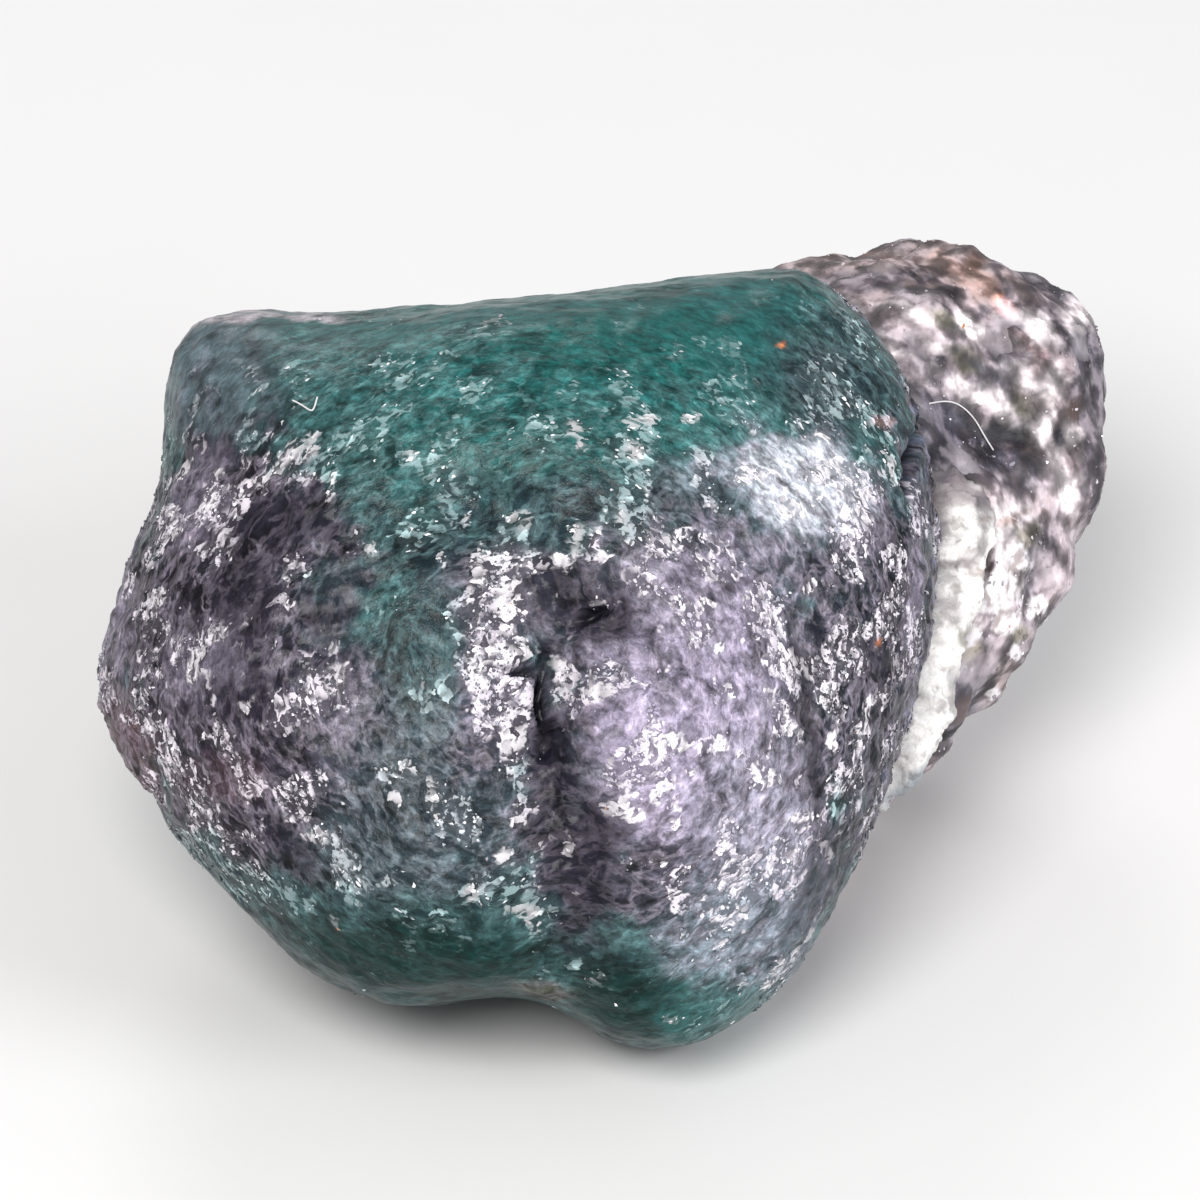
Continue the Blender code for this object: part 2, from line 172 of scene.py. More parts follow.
# Feldspar on the front of the emerald: middle, half width and half height, turn
WHITE_PATCHES = (
    (484, 572, 11, 28, -5), (511, 600, 12, 28, 0), (477, 602, 10, 16, 0), (518, 572, 12, 8, 0),
    (500, 655, 26, 13, 12), (526, 648, 14, 9, 0), (480, 668, 10, 18, 0), (515, 732, 12, 26, -8),
    (560, 566, 14, 12, 0), (577, 538, 11, 15, 0), (523, 522, 12, 10, 0), (602, 603, 16, 7, 0),
    (594, 688, 16, 10, 0), (560, 660, 12, 8, 0), (655, 738, 20, 10, 12), (678, 740, 8, 10, 0),
    (702, 604, 16, 8, -10), (640, 422, 20, 8, 5), (575, 431, 12, 10, 0), (636, 455, 10, 8, 0),
    (581, 449, 8, 6, 0), (695, 422, 14, 7, 0), (501, 328, 16, 8, 0), (416, 457, 6, 7, 0),
    (846, 502, 14, 24, 12), (860, 520, 8, 14, 10), (793, 511, 14, 9, -20), (822, 439, 12, 8, -30),
    (884, 466, 8, 16, 20), (315, 443, 9, 9, 0), (303, 450, 12, 6, -30), (284, 466, 14, 6, 35),
    (265, 482, 10, 5, 20), (337, 487, 4, 14, -10), (172, 513, 7, 9, -30), (213, 501, 6, 16, -35),
    (182, 537, 6, 9, -40), (226, 474, 8, 6, 40), (186, 474, 5, 10, -20), (225, 629, 9, 10, 0),
    (202, 668, 13, 10, 20), (209, 651, 9, 8, 0), (348, 673, 10, 12, 0), (341, 645, 6, 8, 0),
    (373, 547, 7, 10, 20), (320, 826, 14, 8, 0), (438, 793, 7, 22, 0), (411, 765, 9, 6, 0),
    (400, 795, 8, 8, 0), (525, 906, 14, 8, -30), (539, 921, 7, 7, 0), (468, 885, 8, 7, 0),
    (506, 850, 9, 9, 0), (516, 815, 8, 6, 0), (345, 918, 4, 12, 30), (614, 801, 14, 10, 0),
    (628, 808, 14, 8, 0), (655, 790, 7, 12, 20), (566, 839, 7, 10, 0), (694, 849, 4, 8, 0),
    (723, 861, 6, 8, 0), (705, 896, 5, 12, 0), (743, 907, 7, 5, -40), (796, 815, 12, 7, 20),
    (766, 774, 12, 9, 0), (597, 970, 14, 5, 0), (825, 847, 4, 10, 10), (800, 932, 8, 14, -45),
    (794, 946, 5, 7, 0), (772, 962, 6, 12, -30), (765, 978, 5, 9, -30), (676, 1014, 12, 4, 0),
    (793, 663, 10, 16, 25), (820, 696, 12, 12, 0), (861, 715, 8, 16, -20), (782, 728, 14, 6, 0),
    (830, 743, 7, 14, 0), (891, 604, 6, 12, 0), (832, 470, 14, 9, 0), (805, 585, 7, 8, 0),
    (740, 600, 6, 5, 0), (727, 690, 6, 12, -20), (770, 690, 8, 5, 0), (640, 590, 6, 8, 0),
    (720, 645, 5, 6, 0), (688, 770, 8, 6, 0), (250, 710, 7, 6, 0), (165, 600, 5, 9, -40),
    (445, 560, 6, 8, 0), (470, 520, 7, 5, 0), (620, 520, 6, 10, 0), (668, 540, 6, 14, 10),
)
# Where crystals crowd on the emerald
TUFTS = (
    (850, 480, 62, 55, 0), (862, 600, 60, 110, 0), (838, 735, 62, 95, 15), (815, 330, 30, 34, 0),
    (835, 375, 34, 34, 0), (800, 420, 44, 34, 0), (862, 425, 26, 24, 0),
    (498, 620, 50, 80, 0), (640, 432, 115, 26, 0), (305, 462, 50, 34, 35), (222, 648, 50, 44, 0),
    (235, 800, 80, 60, 0), (705, 615, 75, 40, 0), (645, 745, 50, 40, 0), (780, 700, 36, 80, 0),
    (800, 850, 26, 70, -20), (432, 790, 44, 44, 0), (640, 520, 110, 34, 0), (195, 520, 44, 40, 50),
    (345, 670, 34, 44, 0), (560, 550, 40, 40, 0), (600, 680, 40, 20, 0), (700, 860, 60, 50, 0),
    (400, 480, 60, 60, 0), (300, 900, 40, 30, -40), (510, 900, 40, 26, 0),
)
GLASSY = ("bottle_green", "glass_grey")  # colours that few wisps cloud
CALM = ("bottle_green", "night", "black")  # colours that few crystals cover
# The night patches in the schist are painted shade in its hollows
MATRIX_PATCHES = (
    Patch("pink_grey", 880, 262, 110, 24, 3, 0.9),
    Patch("pink_grey", 950, 262, 60, 30, -20, 0.8),
    Patch("slate", 868, 275, 70, 11, 6, 0.6),
    Patch("night", 924, 271, 15, 9, 0, 0.9),
    Patch("pink_grey", 924, 271, 6, 4, 0, 0.8),
    Patch("slate", 915, 291, 18, 9, 0, 0.8),
    Patch("night", 950, 291, 15, 9, -10, 0.9),
    Patch("rust_grey", 985, 278, 26, 15, -50, 0.8),
    Patch("rust_grey", 962, 262, 22, 12, -30, 0.6),
    Patch("pink_grey", 1030, 280, 26, 12, -40, 0.7),
    Patch("pale_schist", 895, 318, 42, 12, -32, 0.8),
    Patch("pale_schist", 960, 330, 60, 26, -30, 0.7),
    Patch("olive", 950, 315, 17, 8, -20, 0.8),
    Patch("night", 917, 336, 12, 6, -20, 0.9),
    Patch("olive", 972, 358, 16, 9, -40, 0.9),
    Patch("night", 930, 354, 5, 6, 0, 0.9),
    Patch("night", 946, 356, 6, 6, 0, 0.9),
    Patch("slate", 985, 365, 26, 5, -35, 0.7),
    Patch("red_brown", 1036, 343, 24, 7, -45, 0.9),
    Patch("slate", 1010, 350, 20, 10, -50, 0.6),
    Patch("violet_dark", 1068, 330, 13, 44, 38, 0.8),
    Patch("slate", 1096, 362, 15, 34, 15, 0.8),
    Patch("pale_schist", 1054, 384, 16, 22, -20, 0.9),
    Patch("schist_dark", 1100, 420, 22, 80, 0, 0.9),
    Patch("rust", 1003, 292, 4, 4, 0, 0.7),
    Patch("pale_schist", 912, 366, 8, 44, 52, 0.9),
    Patch("pale_schist", 975, 400, 44, 12, -40, 0.8),
    Patch("slate", 955, 425, 34, 20, -30, 0.9),
    Patch("night", 1014, 432, 24, 20, -30, 0.95),
    Patch("slate", 985, 446, 40, 20, -30, 0.8),
    Patch("night", 940, 448, 16, 12, 0, 0.7),
    Patch("night", 1067, 436, 7, 10, 0, 0.9),
    Patch("slate", 1025, 474, 34, 20, -10, 0.9),
    Patch("pale_schist", 1060, 470, 14, 26, -20, 0.8),
    Patch("pale_schist", 1085, 520, 16, 34, 10, 0.7),
    Patch("pale_schist", 1000, 560, 56, 70, 0, 0.9),
    Patch("lens", 1044, 322, 26, 12, -42, 0.9),
    Patch("lens", 1086, 310, 13, 19, 10, 0.9),
    Patch("lens", 976, 326, 19, 9, -42, 0.9),
    Patch("blush", 1014, 300, 12, 8, -40, 0.9),
    Patch("lens", 938, 345, 12, 4, -30, 0.8),
    Patch("lens", 1058, 384, 12, 18, -20, 0.8),
    Patch("lens", 968, 386, 26, 7, -38, 0.9),
    Patch("lens", 1005, 402, 24, 9, -40, 0.8),
    Patch("lens", 905, 308, 26, 6, -15, 0.8),
    Patch("lens", 856, 303, 10, 6, -40, 0.9),
    Patch("lens", 884, 340, 9, 22, 55, 0.8),
    Patch("lens", 1030, 375, 10, 20, 40, 0.6),
    Patch("lens", 1050, 426, 9, 20, -10, 0.95),
    Patch("lens", 1079, 432, 8, 13, 0, 0.95),
    Patch("lens", 1062, 458, 7, 20, 20, 0.8),
    Patch("lens", 1076, 492, 11, 20, 0, 0.95),
    Patch("lens", 1000, 520, 40, 18, 0, 0.8),
    Patch("lens", 940, 500, 12, 20, 0, 0.7),
    Patch("olive", 1028, 402, 16, 7, -45, 0.6),
    Patch("night", 1066, 437, 7, 10, 0, 0.9),
    Patch("schist_dark", 1046, 545, 20, 30, 0, 0.9),
    Patch("olive", 1034, 532, 12, 12, 0, 0.7),
    Patch("rust_grey", 1012, 518, 18, 4, 25, 0.7),
    Patch("slate", 1036, 585, 8, 14, 0, 0.7),
    Patch("schist_dark", 1000, 700, 80, 66, 35, 0.95),
    Patch("pale_schist", 1015, 640, 40, 26, 45, 0.5),
    Patch("olive", 972, 652, 16, 10, 50, 0.8),
    Patch("night", 952, 660, 8, 16, 20, 0.7),
    Patch("olive", 1026, 632, 14, 9, 45, 0.8),
    Patch("night", 986, 640, 7, 12, 30, 0.6),
    Patch("pale_schist", 1000, 655, 5, 22, -25, 0.8),
    Patch("slate", 965, 715, 20, 26, 30, 0.7),
    Patch("pale_schist", 1000, 695, 18, 7, 40, 0.7),
    Patch("pink_grey", 1010, 680, 8, 22, -35, 0.7),
)
MATRIX_WHITE_PATCHES = (
    (966, 534, 26, 34, 0), (967, 592, 24, 32, 0), (1000, 590, 26, 24, 0), (1012, 556, 20, 16, 0),
    (950, 482, 20, 12, 0), (1015, 622, 18, 12, 40), (1046, 608, 8, 10, 30), (997, 694, 9, 4, 30),
    (1076, 490, 5, 10, 0), (1050, 426, 4, 8, -10), (1045, 320, 9, 5, -42), (978, 324, 8, 4, -42),
    (1022, 655, 6, 10, 30), (975, 632, 16, 8, 30),
)
SEAM_PATCHES = (
    Patch("grey_teal", 915, 800, 30, 22, 40, 0.9),
    Patch("grey_teal", 940, 765, 14, 26, -35, 0.8),
    Patch("glass_grey", 905, 812, 26, 10, 40, 0.6),
    Patch("schist", 958, 466, 40, 16, 0, 0.95),
    Patch("pale_schist", 962, 492, 40, 16, 0, 0.8),
    Patch("schist_dark", 942, 480, 8, 12, 0, 0.8),
    Patch("schist", 985, 505, 8, 22, 0, 0.8),
    Patch("pale_schist", 945, 525, 8, 20, 0, 0.8),
    Patch("schist", 984, 545, 6, 12, 0, 0.7),
    Patch("pale_schist", 955, 565, 22, 6, 10, 0.7),
    Patch("schist", 940, 590, 6, 22, 0, 0.6),
    Patch("pale_schist", 975, 560, 12, 12, 0, 0.5),
    Patch("rust_grey", 984, 573, 8, 5, 0, 0.6),
    Patch("pale_schist", 950, 610, 8, 18, 20, 0.6),
    Patch("olive", 966, 640, 8, 10, 20, 0.7),
    Patch("olive", 938, 640, 8, 10, 30, 0.4),
    Patch("slate", 955, 690, 5, 22, 0, 0.5),
)
# Dust fibres that lie on the stone, as places in the picture
FIBRES = (
    ((295, 402), (305, 407), (315, 414), (318, 410), (321, 398)),
    ((930, 402), (950, 398), (965, 402), (980, 416), (990, 434), (1000, 450)),
)


def on_stone(left, top):
    """Across and up of a place in the picture."""
    return (left - MIDDLE_PIXEL[0]) * PIXEL, (MIDDLE_PIXEL[1] - top) * PIXEL


def smooth_step(low, high, value):
    t = np.clip((value - low) / (high - low), 0.0, 1.0)
    return t * t * (3.0 - 2.0 * t)


def face_on(points):
    """Places across, up and away of points of the row frame, all in mm."""
    from_middle = points - MIDDLE
    return np.stack([from_middle @ ACROSS, from_middle @ UP, from_middle @ AWAY], axis=1)


def from_face_on(across, up, away=0.0):
    return MIDDLE + across * ACROSS + up * UP + away * AWAY


def rough(points, size, seed, octaves=4):
    """Uneven numbers about 0, mostly within 1, that change over the given size in mm."""
    return np.array([noise.fractal(Vector(p), 1.0, 2.0, octaves) for p in points / size + seed])


def ridges(points, size, seed, octaves=4):
    """Numbers from 0 to 1 with thin crests at 1."""
    return 1.0 - np.clip(np.abs(rough(points, size, seed, octaves)) * 2.2, 0.0, 1.0)


def warped(points, reach, size, seed):
    """The points, each moved by up to about the reach, so that what is drawn in them gets ragged edges."""
    moves = [rough(points, size, seed + k * 7.3, 3) for k in range(3)]
    return points + reach * np.stack(moves, axis=1)


def cover_of(left, top, wide, high, turn, across, up, uneven, edge=0.5):
    """How much of a patch lies at each place: 1 within, 0 outside, and ragged between."""
    turn = math.radians(turn)
    middle = on_stone(left, top)
    along = (across - middle[0]) * math.cos(turn) + (up - middle[1]) * math.sin(turn)
    over = (up - middle[1]) * math.cos(turn) - (across - middle[0]) * math.sin(turn)
    out = np.hypot(along / (wide * PIXEL), over / (high * PIXEL)) + uneven
    return 1.0 - smooth_step(1.0 - edge, 1.0 + edge, out)


# Sizes and colours that a user would change


def colour(name, value, description):
    return bpy.props.FloatVectorProperty(
        name=name, description=description, default=value, size=3, min=0.0, max=1.0, subtype="COLOR"
    )


class StoneColours(bpy.types.PropertyGroup):
    """Colours of the minerals, as linear red, green and blue"""

    green: colour("Green", (0.016, 0.1, 0.098), "Emerald near the top edge")
    deep_green: colour("Deep Green", (0.007, 0.074, 0.066), "Clearest emerald")
    # Bottle green is partly painted shade: the emerald's deep green, made darker at the foot than its own colour,
    # where the floor's light would otherwise brighten it
    bottle_green: colour("Bottle Green", (0.001, 0.02, 0.018), "Emerald at the foot")
    milk: colour("Milk", (0.5, 0.53, 0.58), "Milkiest emerald")
    teal: colour("Teal", (0.02, 0.086, 0.082), "Emerald full of fine mica")
    teal_grey: colour("Teal Grey", (0.028, 0.06, 0.064), "Cloudy emerald")
    green_grey: colour("Green Grey", (0.024, 0.04, 0.046), "Emerald seen through mica")
    glass_grey: colour("Glass Grey", (0.085, 0.12, 0.135), "Clear upper left corner")
    grey_teal: colour("Grey Teal", (0.19, 0.23, 0.27), "Milky emerald")
    grey_low: colour("Low Grey", (0.026, 0.038, 0.046), "Foot of the stone")
    night_teal: colour("Night Teal", (0.012, 0.026, 0.032), "Dark emerald in the middle")
    # Night is partly dark biotite, partly painted shade in hollows, in the valley beside the crack and round the
    # pits
    night: colour("Night", (0.013, 0.012, 0.02), "Shaded biotite")
    # Black is painted shade at the bottom of the cracks and pits and in the crease where the emerald meets the
    # matrix
    black: colour("Black", (0.002, 0.002, 0.005), "Bottom of the cracks")
    violet_dark: colour("Dark Violet", (0.021, 0.017, 0.027), "Mica field on the left")
    slate_teal: colour("Slate Teal", (0.022, 0.032, 0.04), "Emerald under mica in the middle")
    ink: colour("Ink", (0.012, 0.013, 0.021), "Biotite along the joint")
    slate: colour("Slate", (0.06, 0.056, 0.078), "Grey mica")
    lilac_grey: colour("Lilac Grey", (0.17, 0.15, 0.2), "Mica on the lobe")
    lilac: colour("Lilac", (0.31, 0.27, 0.37), "Palest mica on the lobe")
    grey_violet: colour("Grey Violet", (0.24, 0.23, 0.29), "Foot of the lobe")
    # Rim is a painted highlight: pale colour along the upper left edge in place of the light that catches it
    rim: colour("Rim", (0.42, 0.38, 0.4), "Pale upper left edge")
    red_brown: colour("Red Brown", (0.085, 0.04, 0.045), "Stained mica")
    rust: colour("Rust", (0.5, 0.16, 0.05), "Rusty grains")
    rust_grey: colour("Rust Grey", (0.25, 0.15, 0.12), "Rusty schist")
    olive: colour("Olive", (0.13, 0.12, 0.08), "Clay in the notch")
    pink_grey: colour("Pink Grey", (0.17, 0.125, 0.125), "Schist along the top edge")
    pale_schist: colour("Pale Schist", (0.29, 0.24, 0.255), "Schist full of feldspar")
    lens: colour("Lens", (0.58, 0.52, 0.53), "Palest lenses of the schist")
    blush: colour("Blush", (0.55, 0.34, 0.35), "Pink feldspar in the schist")
    schist: colour("Schist", (0.13, 0.108, 0.122), "Ground of the schist")
    schist_dark: colour("Dark Schist", (0.07, 0.06, 0.075), "Biotite in the schist")
    white: colour("White", (0.84, 0.8, 0.82), "Feldspar")
    cream: colour("Cream", (0.93, 0.9, 0.87), "Feldspar seam")


class StoneShape(bpy.types.PropertyGroup):
    """Sizes of the stone's surface"""

    spacing: bpy.props.FloatProperty(
        name="Spacing", description="Between points of the fine surface, in mm", default=0.105, min=0.05
    )
    worn_relief: bpy.props.FloatProperty(
        name="Worn Relief", description="Height of the emerald's unevenness, in mm", default=0.05, min=0.0
    )
    mica_relief: bpy.props.FloatProperty(
        name="Mica Relief", description="Height of the roughness where mica shows, in mm", default=0.09, min=0.0
    )
    schist_relief: bpy.props.FloatProperty(
        name="Schist Relief", description="Height of the schist's lumps and ledges, in mm", default=0.17, min=0.0
    )
    overlap: bpy.props.FloatProperty(
        name="Overlap", description="How far the matrix is bedded into the emerald, in mm", default=0.12, min=0.0
    )


class StoneFlakes(bpy.types.PropertyGroup):
    """Mica flakes, grains and fibres"""

    flakes: bpy.props.IntProperty(name="Flakes", description="Mica flakes in a piece", default=10000, min=0)
    flake_size: bpy.props.FloatProperty(
        name="Flake Size", description="Half width of a usual flake, in mm", default=0.03, min=0.01
    )
    grains: bpy.props.IntProperty(name="Grains", description="Feldspar grains on the stone", default=2600, min=0)
    grain_size: bpy.props.FloatProperty(
        name="Grain Size", description="Half width of a usual grain, in mm", default=0.045, min=0.01
    )
    fibre: bpy.props.FloatProperty(
        name="Fibre", description="Half thickness of a dust fibre, in mm", default=0.018, min=0.001
    )


class StudioSettings(bpy.types.PropertyGroup):
    """Camera and light"""

    distance: bpy.props.FloatProperty(
        name="Distance", description="From the camera to the stone", default=0.25, unit="LENGTH"
    )
    field: bpy.props.FloatProperty(
        name="Field", description="Width of what the camera sees at the stone", default=0.024, unit="LENGTH"
    )
    key: bpy.props.FloatProperty(name="Key Light", description="Power of the main light, in watts", default=0.66)
    fill: bpy.props.FloatProperty(name="Fill Light", description="Power of the fill light, in watts", default=0.36)
    rim: bpy.props.FloatProperty(name="Rim Light", description="Power of the back light, in watts", default=0.12)
    air: bpy.props.FloatProperty(name="Air", description="Brightness of the room", default=0.44)
    floor: colour("Floor", (0.72, 0.71, 0.7), "Floor of the studio")


# Node materials as sums


class Field:
    """One output socket of a material's nodes. Arithmetic on it adds the Math nodes that do it."""

    def __init__(self, recipe, socket):
        self.recipe = recipe
        self.socket = socket

    def beside(self, output):
        """Another output of the same node."""
        return Field(self.recipe, self.socket.node.outputs[output])

    def maths(self, operation, *values):
        return self.recipe.node("ShaderNodeMath", {"operation": operation}, dict(enumerate(values)))

    def __add__(self, other):
        return self.maths("ADD", self, other)

    __radd__ = __add__

    def __sub__(self, other):
        return self.maths("SUBTRACT", self, other)

    def __rsub__(self, other):
        return self.maths("SUBTRACT", other, self)

    def __mul__(self, other):
        return self.maths("MULTIPLY", self, other)

    __rmul__ = __mul__

    def __truediv__(self, other):
        return self.maths("DIVIDE", self, other)

    def __pow__(self, other):
        return self.maths("POWER", self, other)

    def __abs__(self):
        return self.maths("ABSOLUTE", self)

    def at_most(self, other):
        return self.maths("MINIMUM", self, other)

    def at_least(self, other):
        return self.maths("MAXIMUM", self, other)

    def step(self, low, high):
        """0 where this is at low and below, 1 where it is at high and above, and smooth between."""
        sockets = {"Value": self, "From Min": low, "From Max": high}
        return self.recipe.node("ShaderNodeMapRange", {"interpolation_type": "SMOOTHSTEP"}, sockets)


class Recipe:
    """A material and its nodes."""

    def __init__(self, name, **constants):
        self.material = bpy.data.materials.new(name)
        self.material.use_nodes = True
        self.tree = self.material.node_tree
        self.shader = self.tree.nodes["Principled BSDF"]
        for socket, value in constants.items():
            self.shader.inputs[socket.replace("_", " ")].default_value = value

    def node(self, kind, settings=None, sockets=None, output=0):
        """A node of this type, its settings set first, then its sockets filled or linked; one of its outputs."""
        node = self.tree.nodes.new(kind)
        for key, value in (settings or {}).items():
            setattr(node, key, value)
        for key, value in (sockets or {}).items():
            if isinstance(value, Field):
                self.tree.links.new(value.socket, node.inputs[key])
            else:
                node.inputs[key].default_value = value
        return Field(self, node.outputs[output])

    def attribute(self, name, output="Fac"):
        return self.node("ShaderNodeAttribute", {"attribute_name": name}, output=output)

    def place(self):
        """The place on the stone, in mm."""
        place = self.node("ShaderNodeTexCoord", output="Object")
        return self.vector("SCALE", place, scale=1 / MM)

    def vector(self, operation, *values, scale=None):
        sockets = dict(enumerate(values))
        if scale is not None:
            sockets["Scale"] = scale
        return self.node("ShaderNodeVectorMath", {"operation": operation}, sockets)

    def turned(self, place, stretch, turn):
        """The place in axes turned face on by degrees, and drawn together along the first by the stretch."""
        turn = math.radians(turn)
        axes = (
            (ACROSS * math.cos(turn) + UP * math.sin(turn)) / stretch,
            UP * math.cos(turn) - ACROSS * math.sin(turn),
            AWAY,
        )
        parts = [self.vector_dot(place, axis) for axis in axes]
        return self.node("ShaderNodeCombineXYZ", sockets=dict(enumerate(parts)))

    def vector_dot(self, place, axis):
        sockets = {0: place, 1: axis if isinstance(axis, Field) else tuple(axis)}
        return self.node("ShaderNodeVectorMath", {"operation": "DOT_PRODUCT"}, sockets, output="Value")

    def noise(self, place, size, detail=4.0, roughness=0.55, distortion=0.0, output="Fac"):
        sockets = {
            "Vector": place,
            "Scale": 1 / size,
            "Detail": detail,
            "Roughness": roughness,
            "Distortion": distortion,
        }
        return self.node("ShaderNodeTexNoise", sockets=sockets, output=output)

    def cells(self, place, size, output="Distance", metric="EUCLIDEAN"):
        sockets = {"Vector": place, "Scale": 1 / size}
        return self.node("ShaderNodeTexVoronoi", {"distance": metric}, sockets, output=output)

    def wavering(self, place, reach, size):
        """The place, moved about by up to the reach."""
        move = self.noise(place, size, detail=3.0, output="Color")
        move = self.vector("SUBTRACT", move, (0.5, 0.5, 0.5))
        return self.vector("ADD", place, self.vector("SCALE", move, scale=2 * reach))

    def channel(self, value, index=0):
        return self.node("ShaderNodeSeparateXYZ", sockets={0: value}, output=index)

    def mix(self, first, second, share):
        """From the first colour to the second by the share."""
        first, second = (c if isinstance(c, Field) else (*c, 1.0) for c in (first, second))
        settings = {"data_type": "RGBA", "clamp_factor": True}
        return self.node("ShaderNodeMix", settings, {0: share, 6: first, 7: second}, output=2)

    def times(self, tint, share):
        """A colour made darker or brighter."""
        return self.vector("SCALE", tint, scale=share)

    def set(self, **fields):
        for socket, field in fields.items():
            self.tree.links.new(field.socket, self.shader.inputs[socket.replace("_", " ")])

    def bump(self, height, depth):
        """Relief of this height, where depth is in mm for a height of 1."""
        sockets = {"Height": height, "Distance": depth * MM, "Strength": 1.0}
        self.set(Normal=self.node("ShaderNodeBump", sockets=sockets))


# Surfaces


def read_points(mesh):
    points = np.empty(len(mesh.vertices) * 3, np.float32)
    mesh.vertices.foreach_get("co", points)
    return points.reshape(-1, 3).astype(float)


def read_normals(mesh):
    normals = np.empty(len(mesh.vertices) * 3, np.float32)
    mesh.vertex_normals.foreach_get("vector", normals)
    return normals.reshape(-1, 3).astype(float)


def write_points(mesh, points):
    mesh.vertices.foreach_set("co", points.astype(np.float32).ravel())
    mesh.update()


def set_number(mesh, name, values):
    attribute = mesh.attributes.new(name, "FLOAT", "POINT")
    attribute.data.foreach_set("value", values.astype(np.float32))


def set_colour(mesh, name, colours):
    attribute = mesh.attributes.new(name, "FLOAT_COLOR", "POINT")
    colours = np.concatenate([colours, np.ones((len(colours), 1))], axis=1)
    attribute.data.foreach_set("color", colours.astype(np.float32).ravel())


def rings_of(points, drawn_out, steep, left=530, top=650, deep=1.0):
    """Places for patterns that are drawn out round a place in the picture, as the mica's layers are."""
    seen = face_on(points)
    across, up = on_stone(left, top)
    reach = np.sqrt((seen[:, 0] - across) ** 2 + (seen[:, 1] - up) ** 2 + 1.0)
    return np.stack([seen[:, 0] * drawn_out, seen[:, 1] * drawn_out, seen[:, 2] * deep + reach * steep], axis=1)


def set_flow(mesh, places):
    attribute = mesh.attributes.new("flow", "FLOAT_VECTOR", "POINT")
    attribute.data.foreach_set("vector", places.astype(np.float32).ravel())


def fine_surface(node, spacing, smoothing):
    """The node's surface as an even mesh in mm, with the flat facets of the solid smoothed away."""
    body = bmesh.new()
    body.from_mesh(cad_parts[node].data)
    bmesh.ops.remove_doubles(body, verts=body.verts[:], dist=0.001 * MM)
    mesh = bpy.data.meshes.new(node + "_fine")
    body.to_mesh(mesh)
    body.free()
    write_points(mesh, read_points(mesh) / MM)
    helper = bpy.data.objects.new(node + "_fine", mesh)
    bpy.context.scene.collection.objects.link(helper)
    remesh = helper.modifiers.new("even", "REMESH")
    remesh.mode = "VOXEL"
    remesh.voxel_size = spacing
    smooth = helper.modifiers.new("smooth", "SMOOTH")
    smooth.factor = 0.5
    smooth.iterations = smoothing
    graph = bpy.context.evaluated_depsgraph_get()
    fine = bpy.data.meshes.new_from_object(helper.evaluated_get(graph))
    bpy.data.objects.remove(helper)
    fine.shade_smooth()
    return fine


def add_piece(name, mesh, material, replaced=()):
    """A piece of the stone from a mesh in metres."""
    mesh.name = name
    mesh.materials.clear()
    mesh.materials.append(material)
    piece = bpy.data.objects.new(name, mesh)
    bpy.context.scene.collection.objects.link(piece)
    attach(piece, "root")
    if replaced:
        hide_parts(*replaced)
    return piece


def relieve(mesh, heights):
    """Moves the surface out by the heights, but leaves what it rests on flat and on the ground."""
    points = read_points(mesh)
    resting = 1.0 - smooth_step(0.03, 0.35, points[:, 2])
    heights = heights * (1.0 - resting)
    points = points + read_normals(mesh) * heights[:, None]
    points[:, 2] = np.maximum(points[:, 2], 0.0)
    write_points(mesh, points)


def gap_to(points, node, reach):
    """How far each point is from a node of the frame, in mm, but at most the reach."""
    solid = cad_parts[node].data
    tree = BVHTree.FromPolygons((read_points(solid) / MM).tolist(), [tuple(p.vertices) for p in solid.polygons])
    gaps = (tree.find_nearest(Vector(point), reach)[3] for point in points)
    return np.array([reach if gap is None else gap for gap in gaps])


def bed(mesh, host, overlap, reach=0.4):
    """Presses the surface that faces the host into it, so that no gap shows along the joint."""
    points = read_points(mesh)
    for k, point in enumerate(points):
        found, normal, _, distance = host.find_nearest(Vector(point), reach)
        if found is None:
            continue
        outside = (Vector(point) - found).dot(normal) > 0
        share = 1.0 - smooth_step(0.15, reach, distance)
        goal = found - normal * overlap
        if outside or distance < overlap:
            points[k] += share * (np.array(goal) - point)
    write_points(mesh, points)


def front_share(mesh):
    """1 where the surface faces the viewer, 0 where it faces away."""
    return smooth_step(SIDEWAYS, 0.0, -(read_normals(mesh) @ AWAY))


def laid_colours(start, patches, places, uneven, share, palette):
    """Start colours with patches laid over them in order."""
    colours = start.copy()
    for patch in patches:
        cover = cover_of(*patch[1:6], places[:, 0], places[:, 1], uneven) * patch.strength * share
        colours = colours * (1 - cover[:, None]) + np.array(getattr(palette, patch.colour)) * cover[:, None]
    return colours


def white_cover(patches, places, uneven, share):
    cover = np.zeros(len(places))
    for patch in patches:
        cover = np.maximum(cover, cover_of(*patch, places[:, 0], places[:, 1], uneven, 0.5))
    return cover * share


def all_round(points, palette):
    """Colours of the emerald's sides and back, and where mica covers them."""
    mica = smooth_step(-0.12, 0.2, rough(points, 4.5, 21.0, 5))
    pale = smooth_step(0.0, 0.35, rough(points, 2.6, 33.0, 4))
    deep = smooth_step(-0.1, 0.3, rough(points, 3.4, 41.0, 4))
    green = np.array(palette.teal) * (1 - deep)[:, None] + np.array(palette.deep_green) * deep[:, None]
    field = np.array(palette.violet_dark) * (1 - pale)[:, None] + np.array(palette.lilac_grey) * pale[:, None]
    return green * (1 - mica)[:, None] + field * mica[:, None], mica


# Materials


